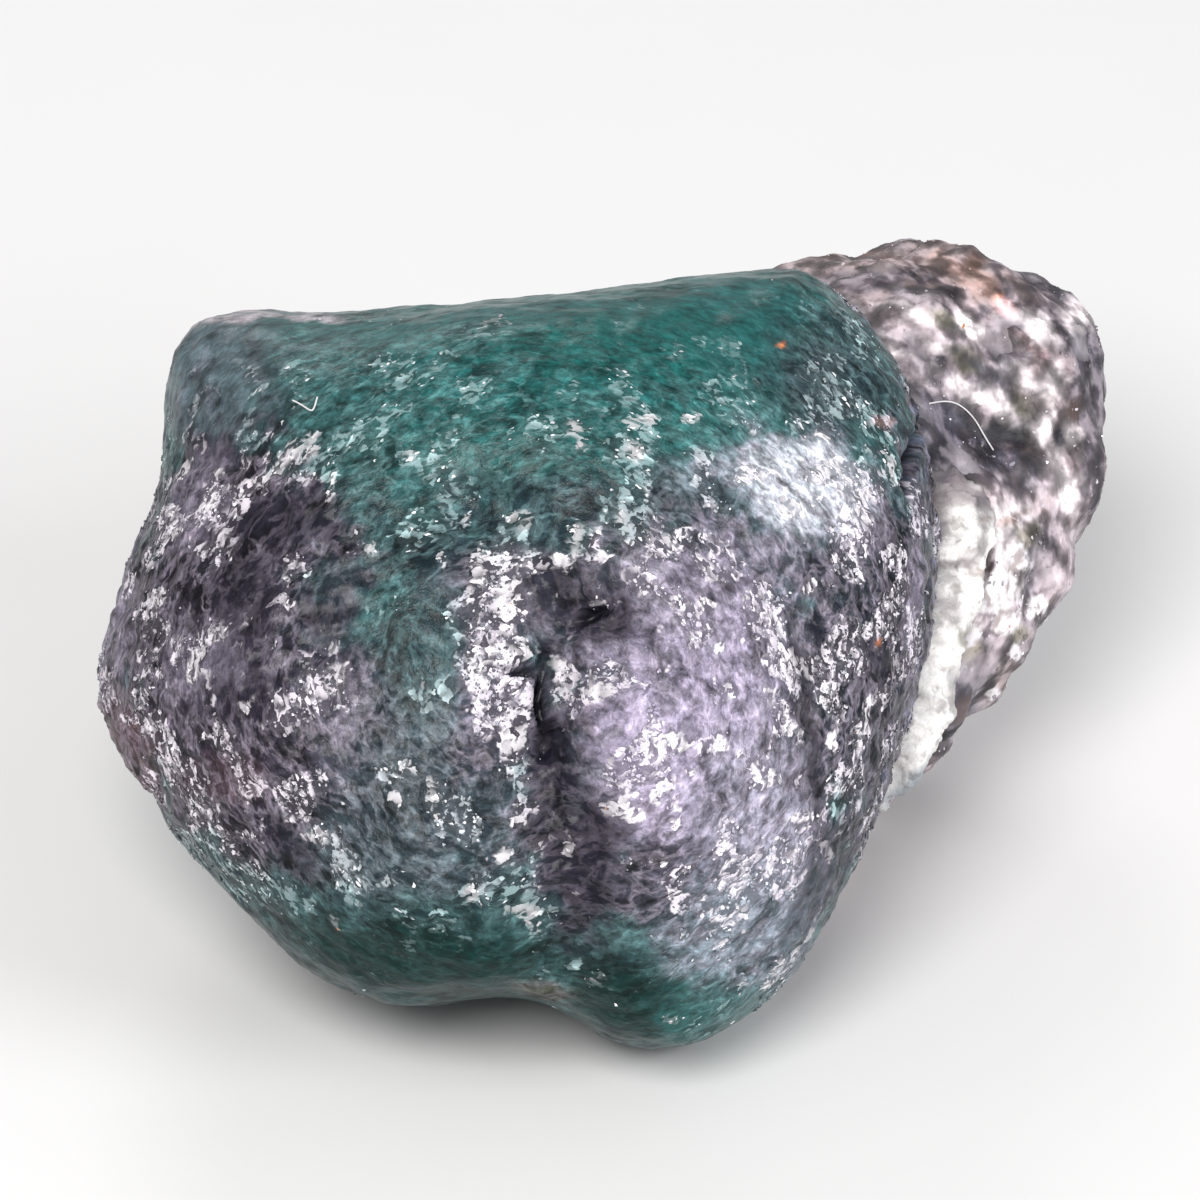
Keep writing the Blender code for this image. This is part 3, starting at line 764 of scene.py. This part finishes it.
def emerald_material(palette):
    """Milky green glass with wisps, crystals and pores, or silvery mica, by what is laid on the mesh."""
    made = Recipe("emerald_skin", IOR=1.57, Specular_IOR_Level=0.12)
    place = made.place()
    flow = made.vector("SCALE", made.attribute("flow", "Vector"), scale=1.0)
    ground = made.attribute("ground", "Color")
    mica = made.attribute("mica")
    veil = made.attribute("veil")
    white = made.attribute("white")
    clump = made.attribute("clump")

    # Smoke: the milk in the glass and the folds of the mica
    folded = made.wavering(flow, 0.55, 1.2)
    smoke = made.noise(folded, 0.7, 5.0, 0.62)
    light = smoke.step(0.52, 0.76)
    dark = smoke.step(0.52, 0.34)
    wisp = (1 - abs(made.noise(folded, 0.5, 3.5, 0.62) * 2 - 1)).step(0.80, 1.0)
    milk = made.mix((0.13, 0.24, 0.24), (0.42, 0.36, 0.44), mica)
    tint = made.mix(ground, made.times(ground, 0.18), dark * (0.7 + mica * 0.2))
    tint = made.mix(tint, made.mix(made.times(ground, 1.8), milk, 0.3), light * veil * (0.6 - mica * 0.2))
    tint = made.mix(tint, milk, wisp * veil * 0.28)

    torn = made.wavering(flow, 0.17, 0.30)
    scratch = made.noise(torn, 0.22, 4.0, 0.7)
    tint = made.times(tint, (0.32 + scratch * 1.36) ** (1.6 + veil * 2.2))

    # Tufts: crystals shredded into clumps, with painted light and shade on each chip: its colour runs from a shaded
    # side to a lit side along its own random tilt, with painted shade in the gaps
    shred = made.noise(torn, 0.28, 2.5, 0.55) * mica + made.noise(torn, 0.16, 2.5, 0.55) * (1 - mica)
    tuft = (clump + white * 1.1 + (shred - 0.5) * 2.6).step(0.50, 0.85)
    tone = white * 0.4 + (shred - 0.5) * 0.9 + 0.08
    for size, seed in ((0.34, 0), (0.17, 1)):
        heart = made.cells(torn, size)
        chance = heart.beside("Color")
        out = made.vector("SUBTRACT", torn, heart.beside("Position"))
        lean = made.vector("SUBTRACT", chance, (0.5, 0.5, 0.5))
        tone = tone + made.vector_dot(out, lean) * (3.2 / size) + (made.channel(chance, seed) - 0.42) * 1.0
    tone = tone.step(-0.15, 1.15)
    gleam = made.mix((0.4, 0.56, 0.57), (0.86, 0.79, 0.86), mica)
    gleam = made.mix(gleam, tuple(palette.white), white)
    shade = made.times(made.mix(ground, milk, 0.2), 0.5)
    tint = made.mix(tint, made.mix(shade, gleam, tone), tuft * (0.1 + veil * 0.75) * (0.55 + mica * 0.45))

    # Chips with sharp edges, most of them in the tufts, each with painted light and shade: its colour is darker on
    # one side and brighter on the other
    chip = made.cells(torn, 0.28, metric="MANHATTAN")
    chance = chip.beside("Color")
    lit = made.vector("SUBTRACT", torn, chip.beside("Position"))
    lit = made.vector_dot(made.vector("SUBTRACT", chance, (0.5, 0.5, 0.5)), tuple(ACROSS)) * 0.6 + made.channel(lit, 2) * 6.5
    sharp = (made.channel(chance, 1) + tuft * 0.35).step(0.98, 1.04) * chip.step(0.62, 0.5)
    chip_light_and_shade = made.mix(made.times(gleam, 0.3), made.times(gleam, 1.2), (0.5 + lit).at_least(0.0).at_most(1.0))
    tint = made.mix(tint, chip_light_and_shade, sharp * veil * 0.85)

    # Painted glints: rare tiny spots of near white laid into the colour
    glint = made.cells(torn, 0.09)
    spark = made.channel(glint.beside("Color"), 2) + (tuft - 0.8) * 0.1
    spark = spark.step(0.935, 0.955) * glint.step(0.45, 0.3)
    tint = made.mix(tint, (0.92, 0.9, 0.94), spark * (0.05 + veil * 0.85))

    made.set(Base_Color=tint)
    made.set(Roughness=0.28 + tuft * 0.14 + dark * 0.12)
    made.bump(made.noise(flow, 0.16, 3.0, 0.6) * (0.2 + veil * 0.8), 0.035)
    return made.material


def matrix_material(palette):
    """Schist: dark and pale lenses drawn out along its layers, rust, and feldspar where it is laid on the mesh."""
    made = Recipe("mica_schist", IOR=1.54, Specular_IOR_Level=0.3)
    place = made.place()
    flow = made.attribute("flow", "Vector")
    ground = made.attribute("ground", "Color")
    white = made.attribute("white")

    folded = made.wavering(flow, 0.3, 1.0)
    lens = made.noise(folded, 0.6, 2.0, 0.5)
    torn = made.wavering(flow, 0.12, 0.4)
    shred = made.noise(torn, 0.3, 2.5, 0.55)
    dark = (lens + (shred - 0.5) * 0.5).step(0.54, 0.34)
    pale = (lens + (shred - 0.5) * 0.7).step(0.48, 0.68)
    tint = made.mix(ground, made.times(ground, 0.36), dark * 0.85)
    tint = made.mix(tint, made.mix(made.times(ground, 2.0), (0.6, 0.52, 0.54), 0.2), pale * 0.9)
    spots = made.cells(torn, 0.6)
    chance = spots.beside("Color")
    blob = (spots + (shred - 0.5) * 0.7).step(0.62, 0.25)
    bright = made.channel(chance).step(0.74, 0.9) * blob
    tint = made.mix(tint, made.mix(made.times(ground, 2.4), (0.74, 0.67, 0.69), 0.35), bright * 0.75)
    shaded = made.channel(chance, 1).step(0.76, 0.9) * blob
    tint = made.mix(tint, made.times(ground, 0.25), shaded * 0.8)
    rusty = made.channel(chance, 2).step(0.86, 0.96) * blob
    tint = made.mix(tint, tuple(palette.rust_grey), rusty * 0.45)
    tint = made.times(tint, (0.45 + shred * 1.1) ** 1.6)

    snow = (white * 1.2 + (shred - 0.5) * 1.3).step(0.2, 1.05)
    chalk = made.noise(torn, 0.3, 2.0, 0.6).step(0.38, 0.56)
    tint = made.mix(tint, made.mix((0.42, 0.36, 0.36), tuple(palette.white), chalk), snow * 0.92)

    made.set(Base_Color=tint)
    made.set(Roughness=0.42 - bright * 0.12 + dark * 0.12)
    made.bump(lens + made.noise(flow, 0.18, 3.0) * 0.5, 0.06)
    return made.material


def seam_material(palette):
    """Cream feldspar, greenish and clearer in places, with dark cracks."""
    made = Recipe("feldspar_seam", IOR=1.53, Subsurface_Weight=0.2, Subsurface_Scale=0.0005)
    made.shader.inputs["Subsurface Radius"].default_value = (1.0, 0.9, 0.8)
    place = made.place()
    wavering = made.wavering(place, 0.2, 0.4)
    ground = made.attribute("ground", "Color")
    cloudy = made.noise(wavering, 0.6, 3.0, 0.55)
    mottled = made.noise(wavering, 0.22, 3.0, 0.6)
    tint = made.mix(ground, made.times(ground, 0.45), (cloudy + (mottled - 0.5) * 0.8).step(0.5, 0.72) * 0.85)
    tint = made.times(tint, (0.5 + mottled * 1.0) ** 0.8)
    spots = made.cells(wavering, 0.3)
    shaded = made.channel(spots.beside("Color")).step(0.80, 0.9) * (spots + (mottled - 0.5) * 0.8).step(0.6, 0.3)
    tint = made.mix(tint, (0.3, 0.26, 0.25), shaded * 0.6)
    made.set(Base_Color=tint)
    made.set(Roughness=0.3 + cloudy * 0.25)
    made.bump(made.noise(wavering, 0.16, 4.0, 0.65), 0.04)
    return made.material


def flake_material(name, **constants):
    """Mica or grains: each flake keeps the tint that is laid on it."""
    made = Recipe(name, **constants)
    tint = made.attribute("tint", "Color")
    place = made.place()
    streak = made.noise(place, 0.03, 3.0, 0.6)
    made.set(Base_Color=made.mix(tint, made.times(tint, 0.55), streak.step(0.45, 0.7)))
    made.set(Roughness=streak * 0.3 + constants.get("Roughness", 0.3) - 0.1)
    return made.material


def floor_material(tint):
    made = Recipe("studio_floor", Roughness=0.6)
    place = made.place()
    speckle = made.noise(place, 6.0, 3.0)
    made.set(Base_Color=made.mix(tuple(tint), tuple(0.97 * c for c in tint), speckle))
    return made.material


def fibre_material():
    made = Recipe("dust_fibre", Roughness=0.5)
    place = made.place()
    made.set(Base_Color=made.mix((0.75, 0.73, 0.72), (0.6, 0.58, 0.6), made.noise(place, 0.2)))
    return made.material


# Small things in their thousands


def scatter(mesh, count, density, random):
    """Places on the mesh, with their normals and the corner that each is nearest, denser where density is high."""
    mesh.calc_loop_triangles()
    corners = np.empty(len(mesh.loop_triangles) * 3, np.int32)
    mesh.loop_triangles.foreach_get("vertices", corners)
    corners = corners.reshape(-1, 3)
    points, normals = read_points(mesh), read_normals(mesh)
    a, b, c = (points[corners[:, k]] for k in range(3))
    area = np.linalg.norm(np.cross(b - a, c - a), axis=1)
    chance = area * density[corners].mean(axis=1)
    picked = random.choice(len(corners), count, p=chance / chance.sum())
    first, second = random.random((2, count))
    flip = first + second > 1
    first[flip], second[flip] = 1 - first[flip], 1 - second[flip]
    places = a[picked] + first[:, None] * (b - a)[picked] + second[:, None] * (c - a)[picked]
    return places, normals[corners[picked, 0]], corners[picked, 0]


def turned_frames(normals, tilt, random):
    """Two directions across each flake and one along its normal, tilted at random by up to about the tilt."""
    count = len(normals)
    leaning = normals + random.normal(size=(count, 3)) * np.asarray(tilt).reshape(-1, 1)
    leaning /= np.linalg.norm(leaning, axis=1)[:, None]
    side = np.cross(leaning, random.normal(size=(count, 3)))
    side /= np.linalg.norm(side, axis=1)[:, None]
    return side, np.cross(leaning, side), leaning


def flakes_mesh(name, places, frames, sizes, random, sides=5, proud=0.35, root=0.9):
    """Closed flakes: a flat top of uneven outline that stands a little proud, tapering to a root in the stone."""
    count = len(places)
    side, over, normal = frames
    turn = np.linspace(0, 2 * math.pi, sides, endpoint=False) + random.uniform(-0.35, 0.35, (count, sides))
    reach = sizes[:, None] * random.uniform(0.6, 1.25, (count, sides))
    slim = random.uniform(0.45, 1.0, count)[:, None]
    rim = (
        places[:, None, :]
        + side[:, None, :] * (reach * np.cos(turn))[:, :, None]
        + over[:, None, :] * (reach * slim * np.sin(turn))[:, :, None]
        + normal[:, None, :] * (sizes * proud)[:, None, None]
    )
    tip = places - normal * (sizes * root)[:, None]
    points = np.concatenate([rim, tip[:, None, :]], axis=1).reshape(-1, 3)
    per_flake = sides + 1
    top = list(range(sides))
    walls = [((k + 1) % sides, k, sides) for k in range(sides)]
    faces = []
    for flake in range(count):
        start = flake * per_flake
        faces.append([start + k for k in top])
        faces.extend([start + k for k in wall] for wall in walls)
    mesh = bpy.data.meshes.new(name)
    mesh.from_pydata(points * MM, [], faces)
    mesh.shade_flat()
    return mesh, per_flake


def grains_mesh(name, places, frames, sizes, random):
    """Closed grains: crumpled blobs with flat facets."""
    blob = bmesh.new()
    bmesh.ops.create_icosphere(blob, subdivisions=1, radius=1.0)
    form = np.array([v.co for v in blob.verts])
    faces = np.array([[v.index for v in f.verts] for f in blob.faces])
    blob.free()
    count = len(places)
    side, over, normal = frames
    crumpled = form[None] * random.uniform(0.6, 1.15, (count, len(form), 1))
    stretch = random.uniform((0.8, 0.55, 0.45), (1.3, 1.0, 0.8), (count, 3))
    crumpled = crumpled * stretch[:, None, :] * sizes[:, None, None]
    points = (
        places[:, None, :]
        + side[:, None, :] * crumpled[:, :, :1]
        + over[:, None, :] * crumpled[:, :, 1:2]
        + normal[:, None, :] * crumpled[:, :, 2:]
    )
    all_faces = (faces[None] + np.arange(count)[:, None, None] * len(form)).reshape(-1, 3)
    mesh = bpy.data.meshes.new(name)
    mesh.from_pydata(points.reshape(-1, 3) * MM, [], all_faces.tolist())
    mesh.shade_flat()
    return mesh, len(form)


# Operators


class STONE_OT_emerald(bpy.types.Operator):
    """Build the emerald: worn green glass with fields of mica"""

    bl_idname = "stone.emerald"
    bl_label = "Emerald"

    def execute(self, context):
        shape, palette = context.scene.stone_shape, context.scene.stone_colours
        mesh = fine_surface("emerald", shape.spacing, 18)
        points = read_points(mesh)
        share = front_share(mesh)
        places = face_on(warped(points, 0.12, 0.8, 3.0))
        start, mica_round = all_round(points, palette)
        across, up = places[:, 0], places[:, 1]
        coarse, fine = rough(points, 0.9, 101.0, 3), rough(points, 0.32, 103.0, 3)
        uneven = 0.35 * coarse + 0.22 * fine
        colours = laid_colours(
            start * (1 - share)[:, None] + np.array(palette.teal_grey) * share[:, None],
            EMERALD_PATCHES,
            places,
            uneven,
            share,
            palette,
        )
        # Towards the matrix and the seam the emerald darkens to mottled ink: partly the biotite along the joint,
        # partly painted shade in the crease between the parts
        gap = np.minimum(gap_to(points, "matrix", 3.5), gap_to(points, "feldspar_seam", 3.5))
        joint = 1 - smooth_step(1.3, 3.2, gap + 0.5 * coarse)
        mica_and_shade_tint = np.array(palette.ink) * (1.2 + smooth_step(0.0, 0.5, fine)[:, None] * 6)
        colours = colours * (1 - joint[:, None]) + mica_and_shade_tint * joint[:, None]
        green = smooth_step(0.08, 0.55, (colours[:, 1] - colours[:, 0]) / np.maximum(colours[:, 1], 0.03))
        mica = 1 - green
        cap = smooth_step(4.7, 7.0, up + 0.1 * across) * share * (1 - smooth_step(4.6, 6.0, across + 0.8 * coarse))
        # Less milk where the night and black patches lie, these being mostly painted shade; the black ones are also
        # sunk as pits
        night = [patch[1:6] for patch in EMERALD_PATCHES if patch.colour == "night"]
        pits = [patch[1:6] for patch in EMERALD_PATCHES if patch.colour == "black"]
        pit = white_cover(pits, places, 0.3 * fine, share)
        veil = np.clip(0.95 - 0.8 * cap, 0.1, 1.0)
        clear = [patch[1:6] for patch in EMERALD_PATCHES if patch.colour in GLASSY]
        veil = veil * (1 - 0.7 * white_cover(clear, places, uneven, share))
        veil = veil * (1 - 0.65 * white_cover(night, places, uneven, share)) * (1 - 0.97 * pit)
        white = white_cover(WHITE_PATCHES, places, 0.5 * fine, share)
        white = np.maximum(white, (1 - share) * smooth_step(0.35, 0.6, rough(points, 1.3, 51.0, 4)))

        still = [patch[1:6] for patch in EMERALD_PATCHES if patch.colour in CALM]
        calm = white_cover(still, places, uneven, share)
        crowd = white_cover(TUFTS, places, uneven, share)
        clump = smooth_step(0.05, 0.42, rough(points, 1.0, 91.0, 5) + 0.3 * crowd) * (1 - 0.6 * calm)

        lumps = shape.worn_relief * rough(points, 0.9, 13.0, 4)
        scaly = shape.mica_relief * (0.25 + 0.75 * mica) * rough(points, 0.4, 17.0, 4) * (1 - 0.85 * cap)
        relieve(mesh, lumps + scaly - 0.35 * pit + 0.02 * white)
        write_points(mesh, read_points(mesh) * MM)
        set_colour(mesh, "ground", colours)
        set_number(mesh, "mica", mica)
        set_number(mesh, "veil", veil)
        set_number(mesh, "white", white)
        set_number(mesh, "clump", clump)
        set_flow(mesh, rings_of(points, 0.72, 0.7))
        add_piece("emerald_skin", mesh, emerald_material(palette), ["emerald"])
        return {"FINISHED"}


class STONE_OT_matrix(bpy.types.Operator):
    """Build the matrix: broken mica schist with feldspar, bedded against the emerald"""

    bl_idname = "stone.matrix"
    bl_label = "Matrix"

    def execute(self, context):
        shape, palette = context.scene.stone_shape, context.scene.stone_colours
        mesh = fine_surface("matrix", shape.spacing, 8)
        points = read_points(mesh)
        share = front_share(mesh)
        places = face_on(warped(points, 0.15, 0.8, 3.0))
        fine_edge = rough(points, 0.4, 105.0, 3)
        tone = smooth_step(-0.35, 0.35, rough(points, 2.4, 61.0, 4))[:, None]
        stain = 0.6 * smooth_step(0.1, 0.5, rough(points, 3.0, 63.0, 3))[:, None]
        start = np.array(palette.schist_dark) * (1 - tone) + np.array(palette.pale_schist) * tone
        start = start * (1 - stain) + np.array(palette.pink_grey) * stain
        colours = laid_colours(start, MATRIX_PATCHES, places, 0.5 * fine_edge, share, palette)
        white = white_cover(MATRIX_WHITE_PATCHES, places, 0.5 * fine_edge, share)
        white = np.maximum(white, (1 - share) * smooth_step(0.3, 0.55, rough(points, 1.6, 71.0, 4)))

        layers = rings_of(points, 0.5, 0.9, *SCHIST_MIDDLE)
        ledges = ridges(layers, 1.0, 23.0, 3)
        craggy = rough(points, 1.2, 29.0, 4)
        fine = rough(layers, 0.4, 37.0, 3)
        relieve(mesh, shape.schist_relief * (0.65 * craggy + 0.4 * (ledges - 0.6) + 0.2 * fine) + 0.02 * white)
        host = tree_of_piece("emerald_skin")
        bed(mesh, host, shape.overlap)
        points = read_points(mesh)
        points[:, 2] = np.maximum(points[:, 2], 0.0)
        write_points(mesh, points * MM)
        set_colour(mesh, "ground", colours)
        set_number(mesh, "white", white)
        set_flow(mesh, rings_of(points, 0.75, 0.5, *SCHIST_MIDDLE, deep=0.6))
        add_piece("schist", mesh, matrix_material(palette), ["matrix"])
        return {"FINISHED"}


def tree_of_piece(name):
    """A search tree of a piece's surface, in mm."""
    mesh = bpy.data.objects[name].data
    points = read_points(mesh) / MM
    return BVHTree.FromPolygons(points.tolist(), [tuple(p.vertices) for p in mesh.polygons])


class STONE_OT_seam(bpy.types.Operator):
    """Build the feldspar seam along the joint"""

    bl_idname = "stone.seam"
    bl_label = "Feldspar Seam"

    def execute(self, context):
        shape, palette = context.scene.stone_shape, context.scene.stone_colours
        mesh = fine_surface("feldspar_seam", 0.05, 3)
        points = read_points(mesh)
        heights = 0.14 * rough(points, 0.7, 81.0, 4) + 0.05 * rough(points, 0.22, 83.0, 3)
        places = face_on(points)
        cream = np.tile(np.array(palette.cream), (len(points), 1))
        colours = laid_colours(cream, SEAM_PATCHES, places, 0.4 * rough(points, 0.4, 107.0, 3), 1.0, palette)
        relieve(mesh, heights)
        bed(mesh, tree_of_piece("emerald_skin"), shape.overlap)
        write_points(mesh, read_points(mesh) * MM)
        set_colour(mesh, "ground", colours)
        add_piece("seam_vein", mesh, seam_material(palette), ["feldspar_seam"])
        return {"FINISHED"}


def tints_of(colours, count, random, spread):
    """A colour for each flake, mixed between the given two and made a little brighter or darker."""
    low, high = (np.array(c) for c in colours)
    mix = random.random((count, 1))
    return np.clip((low * (1 - mix) + high * mix) * random.uniform(1 - spread, 1 + spread, (count, 1)), 0, 1)


class STONE_OT_flakes(bpy.types.Operator):
    """Strew the mica flakes over the emerald and the matrix"""

    bl_idname = "stone.flakes"
    bl_label = "Mica Flakes"

    def execute(self, context):
        settings = context.scene.stone_flakes
        emerald = bpy.data.objects["emerald_skin"].data
        mica = np.empty(len(emerald.vertices), np.float32)
        emerald.attributes["mica"].data.foreach_get("value", mica)
        veil = np.empty(len(emerald.vertices), np.float32)
        emerald.attributes["veil"].data.foreach_get("value", veil)
        points = read_points(emerald) / MM
        clumps = np.empty(len(emerald.vertices), np.float32)
        emerald.attributes["clump"].data.foreach_get("value", clumps)
        off_ground = smooth_step(0.1, 0.6, points[:, 2])
        front = 0.35 + 0.65 * front_share(emerald)
        density = (0.12 + 0.88 * mica) * veil**2 * (0.003 + clumps**2) * off_ground * front
        self.strew("emerald_mica", emerald, density, mica, settings, 11)
        schist = bpy.data.objects["schist"].data
        points = read_points(schist) / MM
        off_ground = smooth_step(0.1, 0.6, points[:, 2])
        clumps = smooth_step(-0.2, 0.4, rough(points, 0.9, 95.0, 4))
        density = (0.05 + clumps**2) * off_ground * (0.35 + 0.65 * front_share(schist))
        self.strew("schist_mica", schist, density, np.ones(len(points)), settings, 12, share=0.15)
        return {"FINISHED"}

    def strew(self, name, mesh, density, mica, settings, seed, share=1.0):
        random = np.random.default_rng(seed)
        count = int(settings.flakes * share)
        ground = np.empty(len(mesh.vertices) * 4, np.float32)
        mesh.attributes["ground"].data.foreach_get("color", ground)
        ground = ground.reshape(-1, 4)[:, :3].astype(float)
        places, normals, nearest = scatter(mesh, count, density, random)
        sizes = settings.flake_size * np.clip(random.lognormal(0.0, 0.45, count), 0.35, 2.4)
        frames = turned_frames(normals, 0.35, random)
        flakes, per_flake = flakes_mesh(name, places / MM, frames, sizes, random)
        glow = random.random(count)[:, None] ** 3.0
        share_mica = mica[nearest][:, None]
        silver = np.array((0.9, 0.85, 0.92)) * share_mica + np.array((0.7, 0.84, 0.83)) * (1 - share_mica)
        tints = np.clip(ground[nearest] * 1.5 + 0.03, 0, 1) * (1 - glow) + silver * glow
        set_colour(flakes, "tint", np.repeat(tints, per_flake, axis=0))
        material = flake_material(name + "_silver", Roughness=0.3, Metallic=0.25, IOR=1.6)
        add_piece(name, flakes, material)


class STONE_OT_grains(bpy.types.Operator):
    """Strew the feldspar grains and the rusty grains"""

    bl_idname = "stone.grains"
    bl_label = "Grains"

    def execute(self, context):
        settings = context.scene.stone_flakes
        for name, host, slot, seed in (
            ("emerald_grains", "emerald_skin", "emerald", 21),
            ("schist_grains", "schist", "mica_schist", 22),
        ):
            random = np.random.default_rng(seed)
            mesh = bpy.data.objects[host].data
            white = np.empty(len(mesh.vertices), np.float32)
            mesh.attributes["white"].data.foreach_get("value", white)
            points = read_points(mesh) / MM
            off_ground = smooth_step(0.1, 0.6, points[:, 2])
            density = (0.004 + white**1.5) * off_ground
            places, normals, _ = scatter(mesh, settings.grains, density, random)
            sizes = settings.grain_size * np.clip(random.lognormal(0.0, 0.4, settings.grains), 0.4, 2.2)
            frames = turned_frames(normals, 0.4, random)
            grains, per_grain = grains_mesh(name, places / MM - normals * 0.035, frames, sizes, random)
            tints = tints_of([(0.25, 0.23, 0.26), (0.95, 0.92, 0.93)], settings.grains, random, 0.15)
            rusty = random.random(settings.grains) < 0.03
            tints[rusty] = tints_of([(0.35, 0.13, 0.05), (0.7, 0.32, 0.14)], rusty.sum(), random, 0.1)
            set_colour(grains, "tint", np.repeat(tints, per_grain, axis=0))
            add_piece(name, grains, flake_material(name + "_pale", Roughness=0.4, IOR=1.53))
        return {"FINISHED"}


class STONE_OT_fibres(bpy.types.Operator):
    """Lay the dust fibres on the stone"""

    bl_idname = "stone.fibres"
    bl_label = "Dust Fibres"

    def execute(self, context):
        half = context.scene.stone_flakes.fibre
        trees = [tree_of_piece("emerald_skin"), tree_of_piece("schist")]
        material = fibre_material()
        for number, route in enumerate(FIBRES, 1):
            curve = bpy.data.curves.new("fibre", "CURVE")
            curve.dimensions = "3D"
            curve.bevel_depth = half * MM
            curve.bevel_resolution = 1
            curve.use_fill_caps = True
            spline = curve.splines.new("POLY")
            stops = np.linspace(0, len(route) - 1, 6 * len(route))
            line = [np.interp(stops, range(len(route)), [p[k] for p in route]) for k in range(2)]
            line = [np.convolve(np.pad(part, 3, "edge"), np.ones(7) / 7, "valid") for part in line]
            spline.points.add(len(stops) - 1)
            for point, left, top in zip(spline.points, *line):
                spot = nearest_to_viewer(trees, *on_stone(left, top)) - AWAY * 1.5 * half
                point.co = (*(spot * MM), 1.0)
            helper = bpy.data.objects.new("fibre", curve)
            bpy.context.scene.collection.objects.link(helper)
            graph = bpy.context.evaluated_depsgraph_get()
            mesh = bpy.data.meshes.new_from_object(helper.evaluated_get(graph))
            bpy.data.objects.remove(helper)
            add_piece(f"dust_fibre_{number}", mesh, material)
        return {"FINISHED"}


def nearest_to_viewer(trees, across, up):
    """The place on the stone that the viewer sees at across and up, in the row frame, in mm."""
    start = Vector(from_face_on(across, up, -30.0))
    hits = [tree.ray_cast(start, Vector(AWAY)) for tree in trees]
    hits = [(distance, place) for place, _, _, distance in hits if place is not None]
    if not hits:
        raise RuntimeError(f"nothing of the stone is at {across}, {up}")
    return np.array(min(hits)[1])


class STONE_OT_studio(bpy.types.Operator):
    """Set up the floor, the camera and the soft lights"""

    bl_idname = "stone.studio"
    bl_label = "Studio"

    def execute(self, context):
        studio = context.scene.stone_studio
        bpy.ops.mesh.primitive_plane_add(size=0.6, location=(0, 0, -0.00002))
        floor = context.object
        floor.name = "floor"
        floor.data.materials.append(floor_material(studio.floor))

        aim = Vector(from_face_on(*self.picture_middle())) * MM
        camera = bpy.data.cameras.new("camera")
        camera.sensor_width = 36.0
        camera.lens = camera.sensor_width * studio.distance / studio.field
        camera.clip_start = 0.01
        camera_object = bpy.data.objects.new("camera", camera)
        context.scene.collection.objects.link(camera_object)
        camera_object.location = aim - Vector(AWAY) * studio.distance
        camera_object.rotation_euler = Vector(AWAY).to_track_quat("-Z", "Y").to_euler()
        context.scene.camera = camera_object

        self.light("key", (-0.05, -0.17, 0.21), 0.14, studio.key, (1.0, 0.99, 0.98))
        self.light("fill", (0.20, -0.10, 0.12), 0.12, studio.fill, (0.95, 0.97, 1.0))
        self.light("rim", (-0.04, 0.20, 0.14), 0.10, studio.rim, (1.0, 0.98, 1.0))
        world = bpy.data.worlds.new("room")
        world.use_nodes = True
        world.node_tree.nodes["Background"].inputs["Color"].default_value = (0.95, 0.97, 1.0, 1.0)
        world.node_tree.nodes["Background"].inputs["Strength"].default_value = studio.air
        context.scene.world = world
        context.scene.view_settings.view_transform = "Standard"
        return {"FINISHED"}

    def picture_middle(self):
        """Across and up of the middle of the picture."""
        return 1.4, 1.0

    def light(self, name, place, side, power, tint):
        lamp = bpy.data.lights.new(name, "AREA")
        lamp.shape = "DISK"
        lamp.size = side
        lamp.energy = power
        lamp.color = tint
        lamp_object = bpy.data.objects.new(name, lamp)
        bpy.context.scene.collection.objects.link(lamp_object)
        lamp_object.location = place
        lamp_object.rotation_euler = (-Vector(place)).to_track_quat("-Z", "Y").to_euler()


class STONE_PT_panel(bpy.types.Panel):
    """Lists the settings and the steps in the sidebar"""

    bl_label = "Emerald in Matrix"
    bl_idname = "STONE_PT_panel"
    bl_space_type = "VIEW_3D"
    bl_region_type = "UI"
    bl_category = "Emerald"

    def draw(self, context):
        for name in GROUPS:
            box = self.layout.box()
            group = getattr(context.scene, name)
            for key in group.__annotations__:
                box.prop(group, key)
        for operator in STEPS:
            self.layout.operator(operator.bl_idname)


GROUPS = {
    "stone_colours": StoneColours,
    "stone_shape": StoneShape,
    "stone_flakes": StoneFlakes,
    "stone_studio": StudioSettings,
}
STEPS = (
    STONE_OT_studio,
    STONE_OT_emerald,
    STONE_OT_matrix,
    STONE_OT_seam,
    STONE_OT_flakes,
    STONE_OT_grains,
    STONE_OT_fibres,
)


def register():
    for made in (*GROUPS.values(), *STEPS, STONE_PT_panel):
        bpy.utils.register_class(made)
    for name, group in GROUPS.items():
        setattr(bpy.types.Scene, name, bpy.props.PointerProperty(type=group))


def unregister():
    for name in GROUPS:
        delattr(bpy.types.Scene, name)
    for made in (STONE_PT_panel, *reversed(STEPS), *reversed(list(GROUPS.values()))):
        bpy.utils.unregister_class(made)


def main():
    register()
    for step in STEPS:
        group, name = step.bl_idname.split(".")
        getattr(getattr(bpy.ops, group), name)()


if __name__ == "__main__":
    main()
